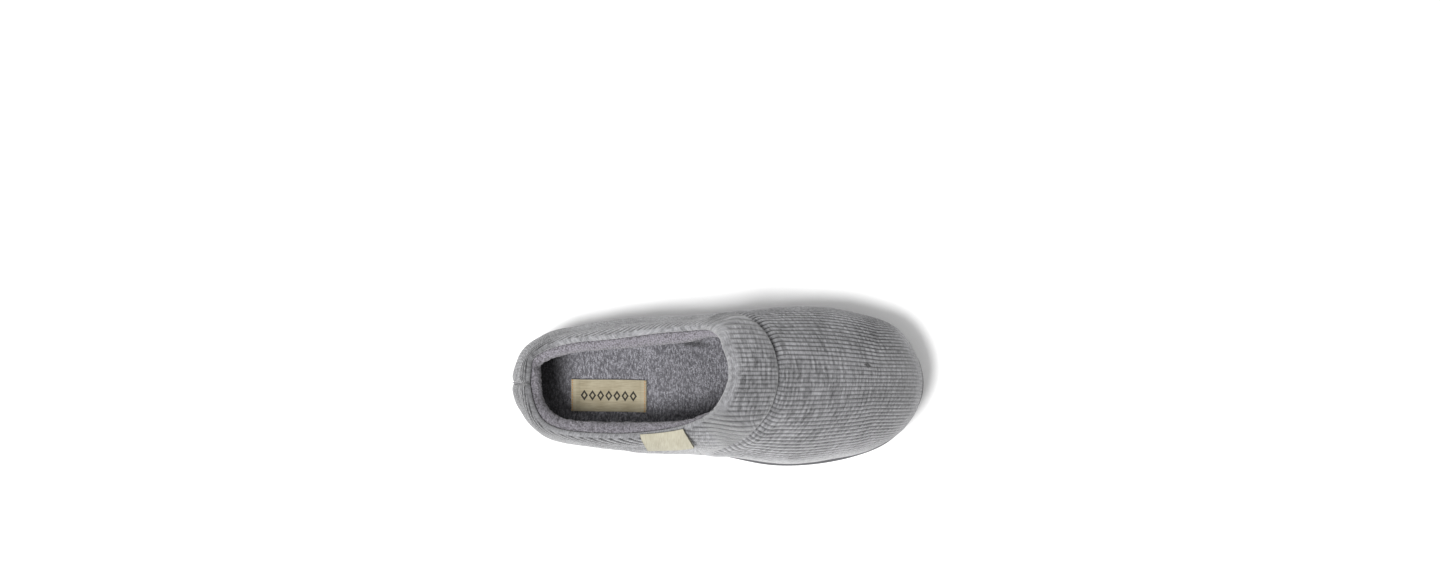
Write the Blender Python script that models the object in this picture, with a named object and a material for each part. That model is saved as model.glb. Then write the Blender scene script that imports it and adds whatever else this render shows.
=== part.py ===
# Knitted slipper, right shoe: outsole, insole, hollow upper, padded collar, label and side tag.
# Sizes are in millimetres from the heel tip: x to the toe, y to the inner (medial) side, z up.
import bpy
import math
import numpy as np

MM = 0.001
AXIS_Y = 2.2  # the straight line that half-widths are taken from
FULLNESS = 2.2  # how squarely a section meets its crown
COLUMNS = 96  # meridians round the shoe, heel tip first, then the medial side
COLLAR_ROWS = 7
VAMP_ROWS = 8
INNER_ROWS = (0, 2, 4, 6, 7, 9, 11, 13, 14, 15)  # the lining side has fewer rows

# The widest line of the knitted form, seen from above
FORM_HEEL_X = 0.0
FORM_TOE_X = 261.2
FORM_HEEL_RADIUS = 36.0
FORM_TOE_RADIUS = 32.0
FORM_OUTLINE = (
    # x, medial, lateral
    (8.8, 23.7, 22.7),
    (18.5, 30.2, 32.0),
    (38.0, 36.0, 38.6),
    (57.0, 39.1, 41.0),
    (75.6, 40.8, 42.9),
    (105.0, 42.4, 45.0),
    (133.5, 43.7, 46.4),
    (160.0, 46.7, 50.0),
    (183.5, 48.2, 50.4),
    (208.5, 46.8, 46.3),
    (224.0, 43.0, 43.0),
    (238.5, 38.0, 34.4),
    (249.2, 29.8, 27.0),
)

# The outsole's own outline, which shows past the knit at the ball and the toe
SOLE_HEEL_X = 1.8
SOLE_TOE_X = 262.0
SOLE_HEEL_RADIUS = 35.0
SOLE_TOE_RADIUS = 32.0
SOLE_OUTLINE = (
    # x, medial, lateral
    (8.8, 22.0, 21.0),
    (18.5, 28.4, 30.2),
    (38.0, 34.2, 36.8),
    (57.0, 37.2, 39.4),
    (75.6, 38.8, 41.4),
    (105.0, 40.2, 44.0),
    (133.5, 42.0, 47.0),
    (160.0, 45.4, 52.0),
    (183.5, 47.2, 52.6),
    (208.5, 46.2, 48.4),
    (224.0, 42.8, 45.0),
    (238.5, 38.6, 36.0),
    (249.2, 30.4, 28.0),
)

# Heights of the form along the shoe, with the crown's place across it and each side's squareness
HEEL_UPRIGHT_RADIUS = 44.0
TOE_UPRIGHT_RADIUS = 17.0
SECTIONS = (
    # x, crown_z, crown_y, medial_power, lateral_power
    (12.0, 61.0, 2.0, 3.0, 3.2),
    (30.0, 67.5, 2.0, 2.8, 4.6),
    (60.0, 70.5, 2.5, 2.7, 3.9),
    (100.0, 76.0, 4.0, 2.6, 2.9),
    (137.0, 79.5, 7.5, 2.4, 2.5),
    (169.0, 75.0, 8.5, 2.3, 2.3),
    (200.0, 66.5, 7.5, 2.2, 2.3),
    (220.0, 60.0, 6.0, 2.2, 2.3),
    (235.0, 53.5, 4.5, 2.2, 2.3),
    (250.0, 44.5, 3.0, 2.2, 2.2),
)

# Top of the outsole's rim, and how far above it the form is widest
RIM_HEIGHT = (
    # x, z, bulge
    (0.0, 24.0, 9.5),
    (60.0, 22.5, 9.0),
    (120.0, 20.0, 9.0),
    (170.0, 17.0, 9.0),
    (205.0, 17.0, 8.0),
    (240.0, 19.0, 7.5),
    (262.0, 21.5, 6.5),
)
TUCK = 2.5  # how far the form turns in again under its widest line
TUCK_ANGLE = 65.0
GAP = 0.3

# Top edge of the collar: each meridian runs in plan from here to the widest line at foot_x
TOPLINE = (
    # side, foot_x, x, y, roll, cuff
    ("heel", 0.0, 12.6, 1.6, 8.5, 3.0),
    ("medial", 6.0, 13.4, 12.5, 8.5, 3.0),
    ("medial", 20.0, 18.3, 21.5, 8.0, 3.0),
    ("medial", 40.0, 39.5, 29.0, 7.5, 3.0),
    ("medial", 62.0, 60.8, 31.0, 7.5, 3.0),
    ("medial", 85.0, 84.0, 34.0, 8.0, 3.0),
    ("medial", 108.0, 105.0, 36.2, 8.0, 3.2),
    ("medial", 130.0, 121.0, 35.6, 6.5, 4.0),
    ("medial", 155.0, 130.5, 31.8, 4.5, 5.0),
    ("medial", 192.0, 135.6, 25.2, 4.0, 5.5),
    ("medial", 235.0, 138.8, 16.4, 4.0, 5.5),
    ("toe", 261.2, 139.8, 8.0, 4.0, 5.5),
    ("lateral", 240.0, 138.9, 1.0, 4.0, 5.5),
    ("lateral", 206.0, 134.8, -8.2, 4.0, 5.5),
    ("lateral", 166.0, 127.0, -16.2, 4.0, 5.2),
    ("lateral", 136.0, 117.0, -22.0, 4.5, 4.6),
    ("lateral", 110.0, 100.0, -27.6, 6.5, 3.8),
    ("lateral", 86.0, 81.0, -31.0, 8.0, 3.2),
    ("lateral", 62.0, 61.0, -31.6, 8.0, 3.0),
    ("lateral", 42.0, 41.5, -30.4, 7.5, 3.0),
    ("lateral", 24.0, 27.0, -26.6, 8.0, 3.0),
    ("lateral", 8.0, 17.6, -17.2, 8.5, 3.0),
)

# Where the cuff meets the vamp, in plan, from the lateral wall over the instep to the medial wall
ARC_SEAM = (
    # x, y
    (116.5, -46.5),
    (126.1, -40.2),
    (136.5, -35.2),
    (145.2, -30.4),
    (153.6, -24.4),
    (160.6, -16.5),
    (165.0, -8.0),
    (167.4, 1.5),
    (167.7, 10.1),
    (166.4, 17.5),
    (163.6, 25.0),
    (158.6, 32.2),
    (152.6, 37.4),
    (145.0, 41.4),
    (130.0, 47.0),
)
VAMP_WALL = 4.0
QUARTER_WALL = 3.2

# Outsole: rings from the ground up. inset is from the sole's outline or from the seat, the inner edge of
# the upper's foot, and part is the share of the side's height
SOLE_RINGS = (
    # outline, inset, part, extra
    ("sole", 3.6, 0.00, 0.0),
    ("sole", 1.2, 0.00, 1.8),
    ("sole", 0.3, 0.00, 4.2),
    ("sole", 0.0, 0.40, 0.0),
    ("sole", 0.9, 0.44, 0.0),
    ("sole", 0.9, 0.55, 0.0),
    ("sole", 0.0, 0.59, 0.0),
    ("sole", 0.0, 1.00, -1.6),
    ("sole", 1.2, 1.00, 0.0),
    ("seat", 0.2, 1.00, 0.0),
    ("seat", 0.4, 1.00, -3.0),
)
HEEL_FLAT_FROM = 22.0
ARCH_FROM = 90.0
ARCH_TO = 156.0
ARCH_RISE = 4.0
SPRING_FROM = 204.0
TOE_SPRING = 9.0
HEEL_BEVEL = 3.0
TREAD_RAIL = 9.0
TREAD_DEPTH = 2.6
TREAD_GROOVES = (
    # x, width
    (34.0, 5.0),
    (50.0, 5.0),
    (66.0, 5.0),
    (82.0, 5.0),
    (160.0, 5.0),
    (175.0, 5.0),
    (190.0, 5.0),
    (205.0, 5.0),
    (220.0, 5.0),
)

# Insole: clear is inward from the seat, rise is above the recess floor
INSOLE_RINGS = (
    # clear, rise
    (0.9, 0.3),
    (0.7, 3.4),
    (0.0, 6.4),
    (1.0, 7.8),
    (6.5, 7.2),
)
RECESS = 3.0

LABEL_X = (37.3, 85.0)
LABEL_Y = (-16.2, 4.1)
LABEL_THICK = 0.8
LABEL_FOLD = 5.0
LABEL_FOLD_THICK = 1.4

TAG_FEET = (86.0, 119.0)
TAG_DROP = 15.0
TAG_THICK = 1.3
TAG_LIFT = 1.8
TAG_CLEAR = 0.7


def column(table, index):
    return np.array([row[index] for row in table], float)


def cubic(knots, values, at, period=0.0):
    """A smooth curve through the knots. With a period it joins up with itself."""
    knots = np.asarray(knots, float)
    values = np.asarray(values, float)
    at = np.asarray(at, float)
    if period:
        knots = np.concatenate([knots[-3:] - period, knots, knots[:3] + period])
        values = np.concatenate([values[-3:], values, values[:3]])
    count = len(knots)
    step = np.diff(knots)
    slope = np.diff(values) / step
    matrix = np.eye(count)
    right = np.zeros(count)
    for i in range(1, count - 1):
        matrix[i, i - 1] = step[i - 1]
        matrix[i, i] = 2.0 * (step[i - 1] + step[i])
        matrix[i, i + 1] = step[i]
        right[i] = 6.0 * (slope[i] - slope[i - 1])
    bend = np.linalg.solve(matrix, right)
    i = np.clip(np.searchsorted(knots, at) - 1, 0, count - 2)
    a = (knots[i + 1] - at) / step[i]
    b = 1.0 - a
    curved = (a**3 - a) * bend[i] + (b**3 - b) * bend[i + 1]
    return a * values[i] + b * values[i + 1] + curved * step[i] ** 2 / 6.0


def smooth(low, high, at):
    part = np.clip((np.asarray(at, float) - low) / (high - low), 0.0, 1.0)
    return part * part * (3.0 - 2.0 * part)


class Outline:
    """A closed outline from half-widths each side of the axis, rounded at heel and toe."""

    def __init__(self, heel_x, toe_x, heel_radius, toe_radius, table):
        self.heel_x = heel_x
        self.length = toe_x - heel_x
        x = column(table, 0)
        ends = [math.sqrt(r * self.length / 2.0) for r in (heel_radius, toe_radius)]
        turn = self.turn(x)
        self.turns = np.concatenate([[0.0], turn, [math.pi]])
        self.sides = []
        for side in (1, 2):
            ratio = column(table, side) / np.sin(turn)
            self.sides.append(np.concatenate([[ends[0]], ratio, [ends[1]]]))

    def turn(self, x):
        part = np.clip((np.asarray(x, float) - self.heel_x) / self.length, 0.0, 1.0)
        return np.arccos(1.0 - 2.0 * part)

    def half_widths(self, turn):
        """Medial and lateral half-width at a turn of 0 (heel) to pi (toe)."""
        return [np.sin(turn) * cubic(self.turns, side, turn) for side in self.sides]

    def at(self, turn):
        """Plan points at turns of 0 to 2 pi, up the medial side and back on the lateral side."""
        turn = np.mod(np.asarray(turn, float), 2.0 * math.pi)
        folded = np.where(turn > math.pi, 2.0 * math.pi - turn, turn)
        medial, lateral = self.half_widths(folded)
        x = self.heel_x + self.length * (1.0 - np.cos(folded)) / 2.0
        y = AXIS_Y + np.where(turn > math.pi, -lateral, medial)
        return np.stack([x, y], axis=-1)

    def normal(self, turn):
        """Outward plan normals."""
        along = self.at(np.asarray(turn) + 1e-3) - self.at(np.asarray(turn) - 1e-3)
        across = np.stack([-along[..., 1], along[..., 0]], axis=-1)
        return across / np.linalg.norm(across, axis=-1, keepdims=True)

    def inset(self, turn, by):
        return self.at(turn) - self.normal(turn) * np.asarray(by)[..., None]


FORM = Outline(FORM_HEEL_X, FORM_TOE_X, FORM_HEEL_RADIUS, FORM_TOE_RADIUS, FORM_OUTLINE)
SOLE = Outline(SOLE_HEEL_X, SOLE_TOE_X, SOLE_HEEL_RADIUS, SOLE_TOE_RADIUS, SOLE_OUTLINE)


def rim_z(x):
    return cubic(column(RIM_HEIGHT, 0), column(RIM_HEIGHT, 1), x)


def widest_z(x):
    return rim_z(x) + cubic(column(RIM_HEIGHT, 0), column(RIM_HEIGHT, 2), x)


def ground_z(x):
    """Underside of the sole: flat at heel and forefoot, raised at the arch and sprung at the toe."""
    x = np.asarray(x, float)
    arch = np.clip((x - ARCH_FROM) / (ARCH_TO - ARCH_FROM), 0.0, 1.0)
    spring = np.clip((x - SPRING_FROM) / (SOLE_TOE_X - SPRING_FROM), 0.0, 1.0)
    bevel = np.clip((HEEL_FLAT_FROM - x) / HEEL_FLAT_FROM, 0.0, 1.0)
    return ARCH_RISE * np.sin(math.pi * arch) ** 2 + TOE_SPRING * spring**1.8 + HEEL_BEVEL * bevel**2


def form_z(x, y):
    """Height of the knitted form above a plan point, by sections across the shoe."""
    x = np.asarray(x, float)
    turn = FORM.turn(x)
    medial, lateral = FORM.half_widths(turn)
    stations = column(SECTIONS, 0)
    turns = FORM.turn(stations)
    rise = (column(SECTIONS, 1) - widest_z(stations)) / np.sin(turns)
    ends = [math.sqrt(r * FORM.length / 2.0) for r in (HEEL_UPRIGHT_RADIUS, TOE_UPRIGHT_RADIUS)]
    rise = np.concatenate([[ends[0]], rise, [ends[1]]])
    height = np.sin(turn) * cubic(np.concatenate([[0.0], turns, [math.pi]]), rise, turn)
    crown = AXIS_Y + (cubic(stations, column(SECTIONS, 2), x) - AXIS_Y) * smooth(0.0, 0.5, np.sin(turn))
    power = np.where(
        y > crown,
        np.interp(x, stations, column(SECTIONS, 3)),
        np.interp(x, stations, column(SECTIONS, 4)),
    )
    reach = np.where(y > crown, AXIS_Y + medial - crown, crown - AXIS_Y + lateral)
    across = np.clip(np.abs(y - crown) / np.maximum(reach, 1e-6), 0.0, 1.0)
    return widest_z(x) + height * (1.0 - across**power) ** (1.0 / FULLNESS)


def topline(turn):
    """Plan point, roll thickness and cuff thickness of the top edge at each turn."""
    turns = []
    for side, foot, *_ in TOPLINE:
        own = float(FORM.turn(foot))
        turns.append(2.0 * math.pi - own if side == "lateral" else own)
    turn = np.mod(turn, 2.0 * math.pi)
    return [cubic(turns, column(TOPLINE, i), turn, 2.0 * math.pi) for i in (2, 3, 4, 5)]


def meridian(turn, way):
    """A point of the form: way 0 at the topline, 1 at the widest line and 2 at the sole's rim."""
    turn, way = np.broadcast_arrays(np.asarray(turn, float), np.asarray(way, float))
    start_x, start_y = topline(turn)[:2]
    foot = FORM.at(turn)
    part = np.clip(way, 0.0, 1.0)
    part = 1.0 - (1.0 - part) ** 2
    x = start_x + (foot[..., 0] - start_x) * part
    y = start_y + (foot[..., 1] - start_y) * part
    under = np.radians(TUCK_ANGLE) * np.clip(way - 1.0, 0.0, 1.0)
    most = math.radians(TUCK_ANGLE)
    inward = TUCK * (1.0 - np.cos(under)) / (1.0 - math.cos(most))
    drop = (widest_z(foot[..., 0]) - rim_z(foot[..., 0]) - GAP) * np.sin(under) / math.sin(most)
    normal = FORM.normal(turn)
    z = np.where(way < 1.0, form_z(x, y), widest_z(foot[..., 0]) - drop)
    return np.stack([x - normal[..., 0] * inward, y - normal[..., 1] * inward, z], axis=-1)


def seam_way(turn):
    """How far down each meridian the arc seam crosses it, or 2 where the cuff runs to the sole."""
    knots = np.linspace(0.0, 1.0, len(ARC_SEAM))
    fine = np.linspace(0.0, 1.0, 400)
    seam = np.stack([cubic(knots, column(ARC_SEAM, i), fine) for i in (0, 1)], axis=-1)
    found = np.full(len(turn), 2.0)
    start_x, start_y = topline(turn)[:2]
    feet = FORM.at(turn)
    for i in range(len(turn)):
        start = np.array([start_x[i], start_y[i]])
        along = feet[i] - start
        offset = seam - start
        side = along[0] * offset[:, 1] - along[1] * offset[:, 0]
        for k in np.nonzero(side[:-1] * side[1:] < 0.0)[0]:
            share = side[k] / (side[k] - side[k + 1])
            crossing = offset[k] + (offset[k + 1] - offset[k]) * share
            part = float(crossing @ along / (along @ along))
            if 0.0 < part < 1.0:
                found[i] = 1.0 - math.sqrt(1.0 - part)
    return found


def unit(vectors):
    return vectors / np.maximum(np.linalg.norm(vectors, axis=-1, keepdims=True), 1e-12)


def form_normal(turn, way):
    """Outward normals of the form by small steps on it."""
    up = np.minimum(way + 0.004, 2.0)
    down = np.maximum(way - 0.004, 0.0)
    along = meridian(turn, up) - meridian(turn, down)
    round_it = meridian(turn + 0.004, way) - meridian(turn - 0.004, way)
    return unit(np.cross(round_it, along))


class Body:
    """Gathers the triangles of one solid and makes its object."""

    def __init__(self, name):
        self.name = name
        self.points = []
        self.faces = []

    def row(self, points):
        start = sum(len(p) for p in self.points)
        self.points.append(np.asarray(points, float))
        return np.arange(start, start + len(points))

    def band(self, a, b, crossed=False, closed=True):
        """Joins two rows. Both sides of a thin gap take the same diagonals."""
        for i in range(len(a) if closed else len(a) - 1):
            k = (i + 1) % len(a)
            if crossed:
                self.faces += [(a[i], b[i], a[k]), (a[k], b[i], b[k])]
            else:
                self.faces += [(a[i], b[i], b[k]), (a[i], b[k], a[k])]

    def lid(self, row, up):
        """Closes a ring with rungs from the medial side to the lateral side."""
        count = len(row)
        for i in range(count // 2):
            near, far = row[(count - i) % count], row[count - i - 1]
            for face in ((row[i], row[i + 1], far), (row[i], far, near)):
                self.faces.append(face if up else face[::-1])

    def make(self, shift, collection, material):
        points = np.concatenate(self.points)
        _, first, index = np.unique(
            np.round(points, 3), axis=0, return_index=True, return_inverse=True
        )
        faces = index.reshape(-1)[np.array(self.faces)]
        whole = (
            (faces[:, 0] != faces[:, 1])
            & (faces[:, 1] != faces[:, 2])
            & (faces[:, 0] != faces[:, 2])
        )
        faces = faces[whole]
        points = (points[first] - shift) * MM
        if np.linalg.det(points[faces]).sum() < 0:
            faces = faces[:, ::-1]
        mesh = bpy.data.meshes.new(self.name)
        mesh.from_pydata(points.tolist(), [], faces.tolist())
        mesh.shade_smooth()
        made = bpy.data.objects.new(self.name, mesh)
        if material:
            mesh.materials.append(material)
        collection.objects.link(made)
        return made


def half_round(outer, inner, tangent, depth, steps=(45.0, 90.0, 135.0)):
    """Rows round an edge from the outer skin to the inner skin, bulging along the tangent."""
    middle = (outer + inner) / 2.0
    radius = (outer - inner) / 2.0
    size = np.linalg.norm(radius, axis=-1, keepdims=True)
    rows = []
    for angle in steps:
        a = math.radians(angle)
        rows.append(middle + math.cos(a) * radius + math.sin(a) * size * tangent * depth)
    return rows


# The rows that the upper and the collar share
def shared_rows():
    turn = np.arange(COLUMNS) * 2.0 * math.pi / COLUMNS
    seam = seam_way(turn)
    # The last rows before each corner drop to the sole in one step.
    dense = np.linspace(0.0, 2.0, 401)
    path = meridian(turn[:, None], dense[None, :])
    steps = np.linalg.norm(np.diff(path, axis=1), axis=-1)
    length = np.concatenate([np.zeros((COLUMNS, 1)), np.cumsum(steps, axis=1)], axis=1)
    ways = []
    for part in np.arange(COLLAR_ROWS + 1) / COLLAR_ROWS:
        row = [
            np.interp(part * np.interp(seam[i], dense, length[i]), length[i], dense)
            for i in range(COLUMNS)
        ]
        ways.append(np.array(row))
    for part in np.sin(np.arange(1, VAMP_ROWS + 1) / VAMP_ROWS * 1.25) / math.sin(1.25):
        row = []
        for i in range(COLUMNS):
            cut = np.interp(seam[i], dense, length[i])
            row.append(np.interp(cut + part * (length[i, -1] - cut), length[i], dense))
        ways.append(np.array(row))
    return turn, seam, ways


def set_back(cuff):
    return (GAP + 3.0) * (1.0 - smooth(3.1, 4.6, cuff))


TURN, SEAM, WAYS = shared_rows()
ROLL, CUFF = topline(TURN)[2:]
# Under the cuff the upper stands back by the cuff's own thickness. The vamp isn't set back.
SET_BACK = set_back(CUFF)
LOW_WALL = QUARTER_WALL + (VAMP_WALL - QUARTER_WALL) * smooth(3.1, 4.6, CUFF)
SEAT = TUCK + SET_BACK + LOW_WALL
PLAN_NORMAL = np.concatenate([FORM.normal(TURN), np.zeros((COLUMNS, 1))], axis=1)


def cuff_at(index):
    """Thickness of the cuff at one shared row. It thins to the sole beside its two front corners."""
    foot = np.maximum(SET_BACK - GAP + 1.0 * smooth(3.0, 4.0, CUFF), 1.5)
    return CUFF + (np.minimum(foot, CUFF) - CUFF) * smooth(0.2, 0.9, WAYS[index])


def skin(index):
    """One shared row of the upper's outer skin, with its normals."""
    way = WAYS[index]
    normal = form_normal(TURN, way)
    flat = smooth(1.55, 2.0, way)[:, None]
    normal = unit(normal * (1.0 - flat) + PLAN_NORMAL * flat)
    # Past the corners the set-back ends with the cuff.
    back = SET_BACK * np.ones(COLUMNS)
    return meridian(TURN, way) - normal * back[:, None], normal


def wall(index):
    """Thickness of the upper's wall at one shared row: padded at the topline, thin at the vamp."""
    return LOW_WALL + (ROLL - LOW_WALL) * (1.0 - smooth(0.0, 1.0, WAYS[index]))


def make_upper():
    body = Body("upper")
    skins = [skin(i) for i in range(len(WAYS))]
    outer = [body.row(points) for points, _ in skins]
    for a, b in zip(outer, outer[1:]):
        body.band(a, b)
    inner_points = []
    for i in INNER_ROWS:
        points, normal = skins[i]
        inner_points.append(points - normal * wall(i)[:, None])
    inner = [body.row(points) for points in inner_points]
    for a, b in zip(inner, inner[1:]):
        body.band(b, a)
    body.band(outer[-1], inner[-1])
    top, normal = skins[0]
    tangent = unit(top - meridian(TURN, WAYS[0] + 0.05))
    tangent = unit(tangent - normal * np.sum(tangent * normal, axis=1, keepdims=True))
    last = inner[0]
    for points in reversed(half_round(top, inner_points[0], tangent, 0.9)):
        new = body.row(points)
        body.band(last, new)
        last = new
    body.band(last, outer[0])
    return body


def make_collar():
    body = Body("collar")
    under = []
    over = []
    for i in range(COLLAR_ROWS + 1):
        points, normal = skin(i)
        part = i / COLLAR_ROWS
        puff = 1.0 - smooth(3.0, 5.0, CUFF) * 0.30 * (2.0 * abs(part - 0.5)) ** 3
        under.append(points + normal * GAP)
        over.append(points + normal * (GAP + cuff_at(i) * puff)[:, None])
    low = [body.row(points) for points in under]
    high = [body.row(points) for points in over]
    for a, b in zip(low, low[1:]):
        body.band(a, b, crossed=False)
    for a, b in zip(high, high[1:]):
        body.band(b, a)
    top_tangent = unit(over[0] - over[1])
    last = low[0]
    for points in reversed(half_round(over[0], under[0], top_tangent, 0.9)):
        new = body.row(points)
        body.band(new, last)
        last = new
    body.band(high[0], last)
    # Rounded where it ends on the vamp, square where it stands on the sole.
    end_tangent = unit(over[-1] - over[-2])
    rounded = np.where(SEAM < 1.6, 0.8, 0.0)[:, None]
    last = low[-1]
    for points in reversed(half_round(over[-1], under[-1], end_tangent * rounded, 1.0)):
        new = body.row(points)
        body.band(last, new)
        last = new
    body.band(last, high[-1])
    return body


def make_outsole():
    body = Body("outsole")
    rings = []
    for outline, inset, part, extra in SOLE_RINGS:
        if outline == "sole":
            plan = SOLE.inset(TURN, np.full(COLUMNS, inset))
        else:
            plan = FORM.inset(TURN, SEAT + inset)
        foot_x = SOLE.at(TURN)[:, 0]
        low = ground_z(plan[:, 0] if part == 0.0 else foot_x)
        high = rim_z(foot_x)
        z = low + (high - low) * part + extra
        rings.append(body.row(np.column_stack([plan, z])))
    for a, b in zip(rings, rings[1:]):
        body.band(b, a)
    body.lid(rings[0], up=False)
    body.lid(rings[-1], up=True)
    return body


def make_tread():
    """The cross grooves' cutter: one prism for each groove, stopping short of the rail."""
    body = Body("tread_cutter")
    for x, width in TREAD_GROOVES:
        corners = []
        for side in (-1.0, 1.0):
            at = x + side * width / 2.0
            medial, lateral = SOLE.half_widths(SOLE.turn(at))
            for z in (-6.0, float(ground_z(x)) + TREAD_DEPTH):
                corners.append((at, AXIS_Y - float(lateral) + TREAD_RAIL, z))
                corners.append((at, AXIS_Y + float(medial) - TREAD_RAIL, z))
        k = body.row(corners)
        back = (k[0], k[1], k[3], k[2])
        front = (k[4], k[5], k[7], k[6])
        for a, b, c, d in (
            back,
            front[::-1],
            (k[0], k[4], k[5], k[1]),
            (k[2], k[3], k[7], k[6]),
            (k[0], k[2], k[6], k[4]),
            (k[1], k[5], k[7], k[3]),
        ):
            body.faces += [(a, b, c), (a, c, d)]
    return body


def make_insole():
    body = Body("insole")
    rings = []
    foot_x = FORM.at(TURN)[:, 0]
    for clear, rise in INSOLE_RINGS:
        plan = FORM.inset(TURN, SEAT + clear)
        floor = rim_z(foot_x) - RECESS
        z = blend_top(foot_x, floor, rise) if rise > 7.0 else floor + rise
        rings.append(body.row(np.column_stack([plan, z])))
    for a, b in zip(rings, rings[1:]):
        body.band(b, a)
    body.lid(rings[0], up=False)
    body.lid(rings[-1], up=True)
    return body


def insole_level():
    """The flat of the heel seat, which the label lies on."""
    return float(rim_z(60.0)) - RECESS + 7.2


def blend_top(foot_x, floor, rise):
    """Top of the insole: one flat at the heel seat, and following the sole further forward."""
    forward = smooth(92.0, 130.0, foot_x)
    return (insole_level() + rise - 7.2) * (1.0 - forward) + (floor + rise) * forward


def make_label():
    """A woven ribbon whose ends are folded under, flat on the heel seat."""
    body = Body("insole_label")
    base = insole_level() + GAP
    start, end = LABEL_X
    profile = (
        # x, height
        (start, LABEL_FOLD_THICK),
        (start + LABEL_FOLD, LABEL_FOLD_THICK),
        (start + LABEL_FOLD + 0.6, LABEL_THICK),
        (end - LABEL_FOLD - 0.6, LABEL_THICK),
        (end - LABEL_FOLD, LABEL_FOLD_THICK),
        (end, LABEL_FOLD_THICK),
    )
    rows = []
    for y in LABEL_Y:
        ring = [(x, y, base + height) for x, height in profile]
        ring += [(x, y, base) for x, _ in reversed(profile)]
        rows.append(body.row(ring))
    body.band(rows[0], rows[1])
    count = len(profile)
    for row, turned in ((rows[0], False), (rows[1], True)):
        for i in range(count - 1):
            a, b, c, d = row[i], row[i + 1], row[2 * count - 2 - i], row[2 * count - 1 - i]
            for face in ((a, b, c), (a, c, d)):
                body.faces.append(face[::-1] if turned else face)
    return body


def make_tag():
    """A folded ribbon hanging from the collar seam, its front edge standing off a little."""
    body = Body("side_tag")
    feet = np.linspace(TAG_FEET[0], TAG_FEET[1], 9)
    turn = 2.0 * math.pi - FORM.turn(feet)
    dense = np.linspace(0.0, 1.2, 200)
    layers = ([], [])
    for part in np.linspace(0.0, 1.0, 6):
        path = meridian(turn[:, None], dense[None, :])
        steps = np.linalg.norm(np.diff(path, axis=1), axis=-1)
        length = np.concatenate([np.zeros((len(feet), 1)), np.cumsum(steps, axis=1)], axis=1)
        way = np.array([np.interp(TAG_DROP * part + 0.5, length[i], dense) for i in range(len(feet))])
        normal = form_normal(turn, way)
        cuff = topline(turn)[3]
        forward = (feet - feet[0]) / (feet[-1] - feet[0])
        proud = GAP + cuff - set_back(cuff) + TAG_CLEAR + TAG_LIFT * forward**2 * part
        surface = meridian(turn, way)
        layers[0].append(surface + normal * proud[:, None])
        layers[1].append(surface + normal * (proud + TAG_THICK)[:, None])
    low = [body.row(points) for points in layers[0]]
    high = [body.row(points) for points in layers[1]]
    for a, b in zip(low, low[1:]):
        body.band(a, b, closed=False)
    for a, b in zip(high, high[1:]):
        body.band(b, a, closed=False)
    rim = list(low[0]) + [row[-1] for row in low[1:]] + list(low[-1][-2::-1])
    rim += [row[0] for row in low[-2:0:-1]]
    top = list(high[0]) + [row[-1] for row in high[1:]] + list(high[-1][-2::-1])
    top += [row[0] for row in high[-2:0:-1]]
    body.band(top, rim)
    return body


def material(name, red, green, blue, roughness):
    made = bpy.data.materials.new(name)
    made.use_nodes = True
    shader = made.node_tree.nodes["Principled BSDF"]
    shader.inputs["Base Color"].default_value = (red, green, blue, 1.0)
    shader.inputs["Roughness"].default_value = roughness
    return made


def main():
    for old in list(bpy.data.objects):
        bpy.data.objects.remove(old)
    parts = bpy.data.collections.new("knitted_slipper")
    cutters = bpy.data.collections.new("cutters")
    bpy.context.scene.collection.children.link(parts)
    bpy.context.scene.collection.children.link(cutters)
    cutters.hide_render = True

    bodies = [
        (make_outsole(), material("sole_rubber", 0.27, 0.27, 0.28, 0.7)),
        (make_insole(), material("footbed_terry", 0.21, 0.21, 0.22, 0.95)),
        (make_upper(), material("rib_knit", 0.24, 0.24, 0.25, 0.95)),
        (make_collar(), material("collar_knit", 0.31, 0.31, 0.32, 0.95)),
        (make_label(), material("label_ribbon", 0.45, 0.42, 0.33, 0.85)),
        (make_tag(), material("tag_ribbon", 0.63, 0.6, 0.5, 0.85)),
    ]
    points = np.concatenate([np.concatenate(body.points) for body, _ in bodies])
    low, high = points.min(axis=0), points.max(axis=0)
    shift = np.array([(low[0] + high[0]) / 2.0, (low[1] + high[1]) / 2.0, low[2]])
    made = {body.name: body.make(shift, parts, look) for body, look in bodies}
    cutter = make_tread().make(shift, cutters, None)
    cutter.hide_render = True
    cutter.display_type = "WIRE"
    cut = made["outsole"].modifiers.new("tread", "BOOLEAN")
    cut.operation = "DIFFERENCE"
    cut.solver = "EXACT"
    cut.object = cutter
    print("origin in shoe sizes, mm:", np.round(shift, 3))


main()
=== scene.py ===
import math
from functools import partial

import bpy
import numpy as np
from bpy.props import FloatProperty, PointerProperty, StringProperty
from mathutils import Matrix, Vector, noise


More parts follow.
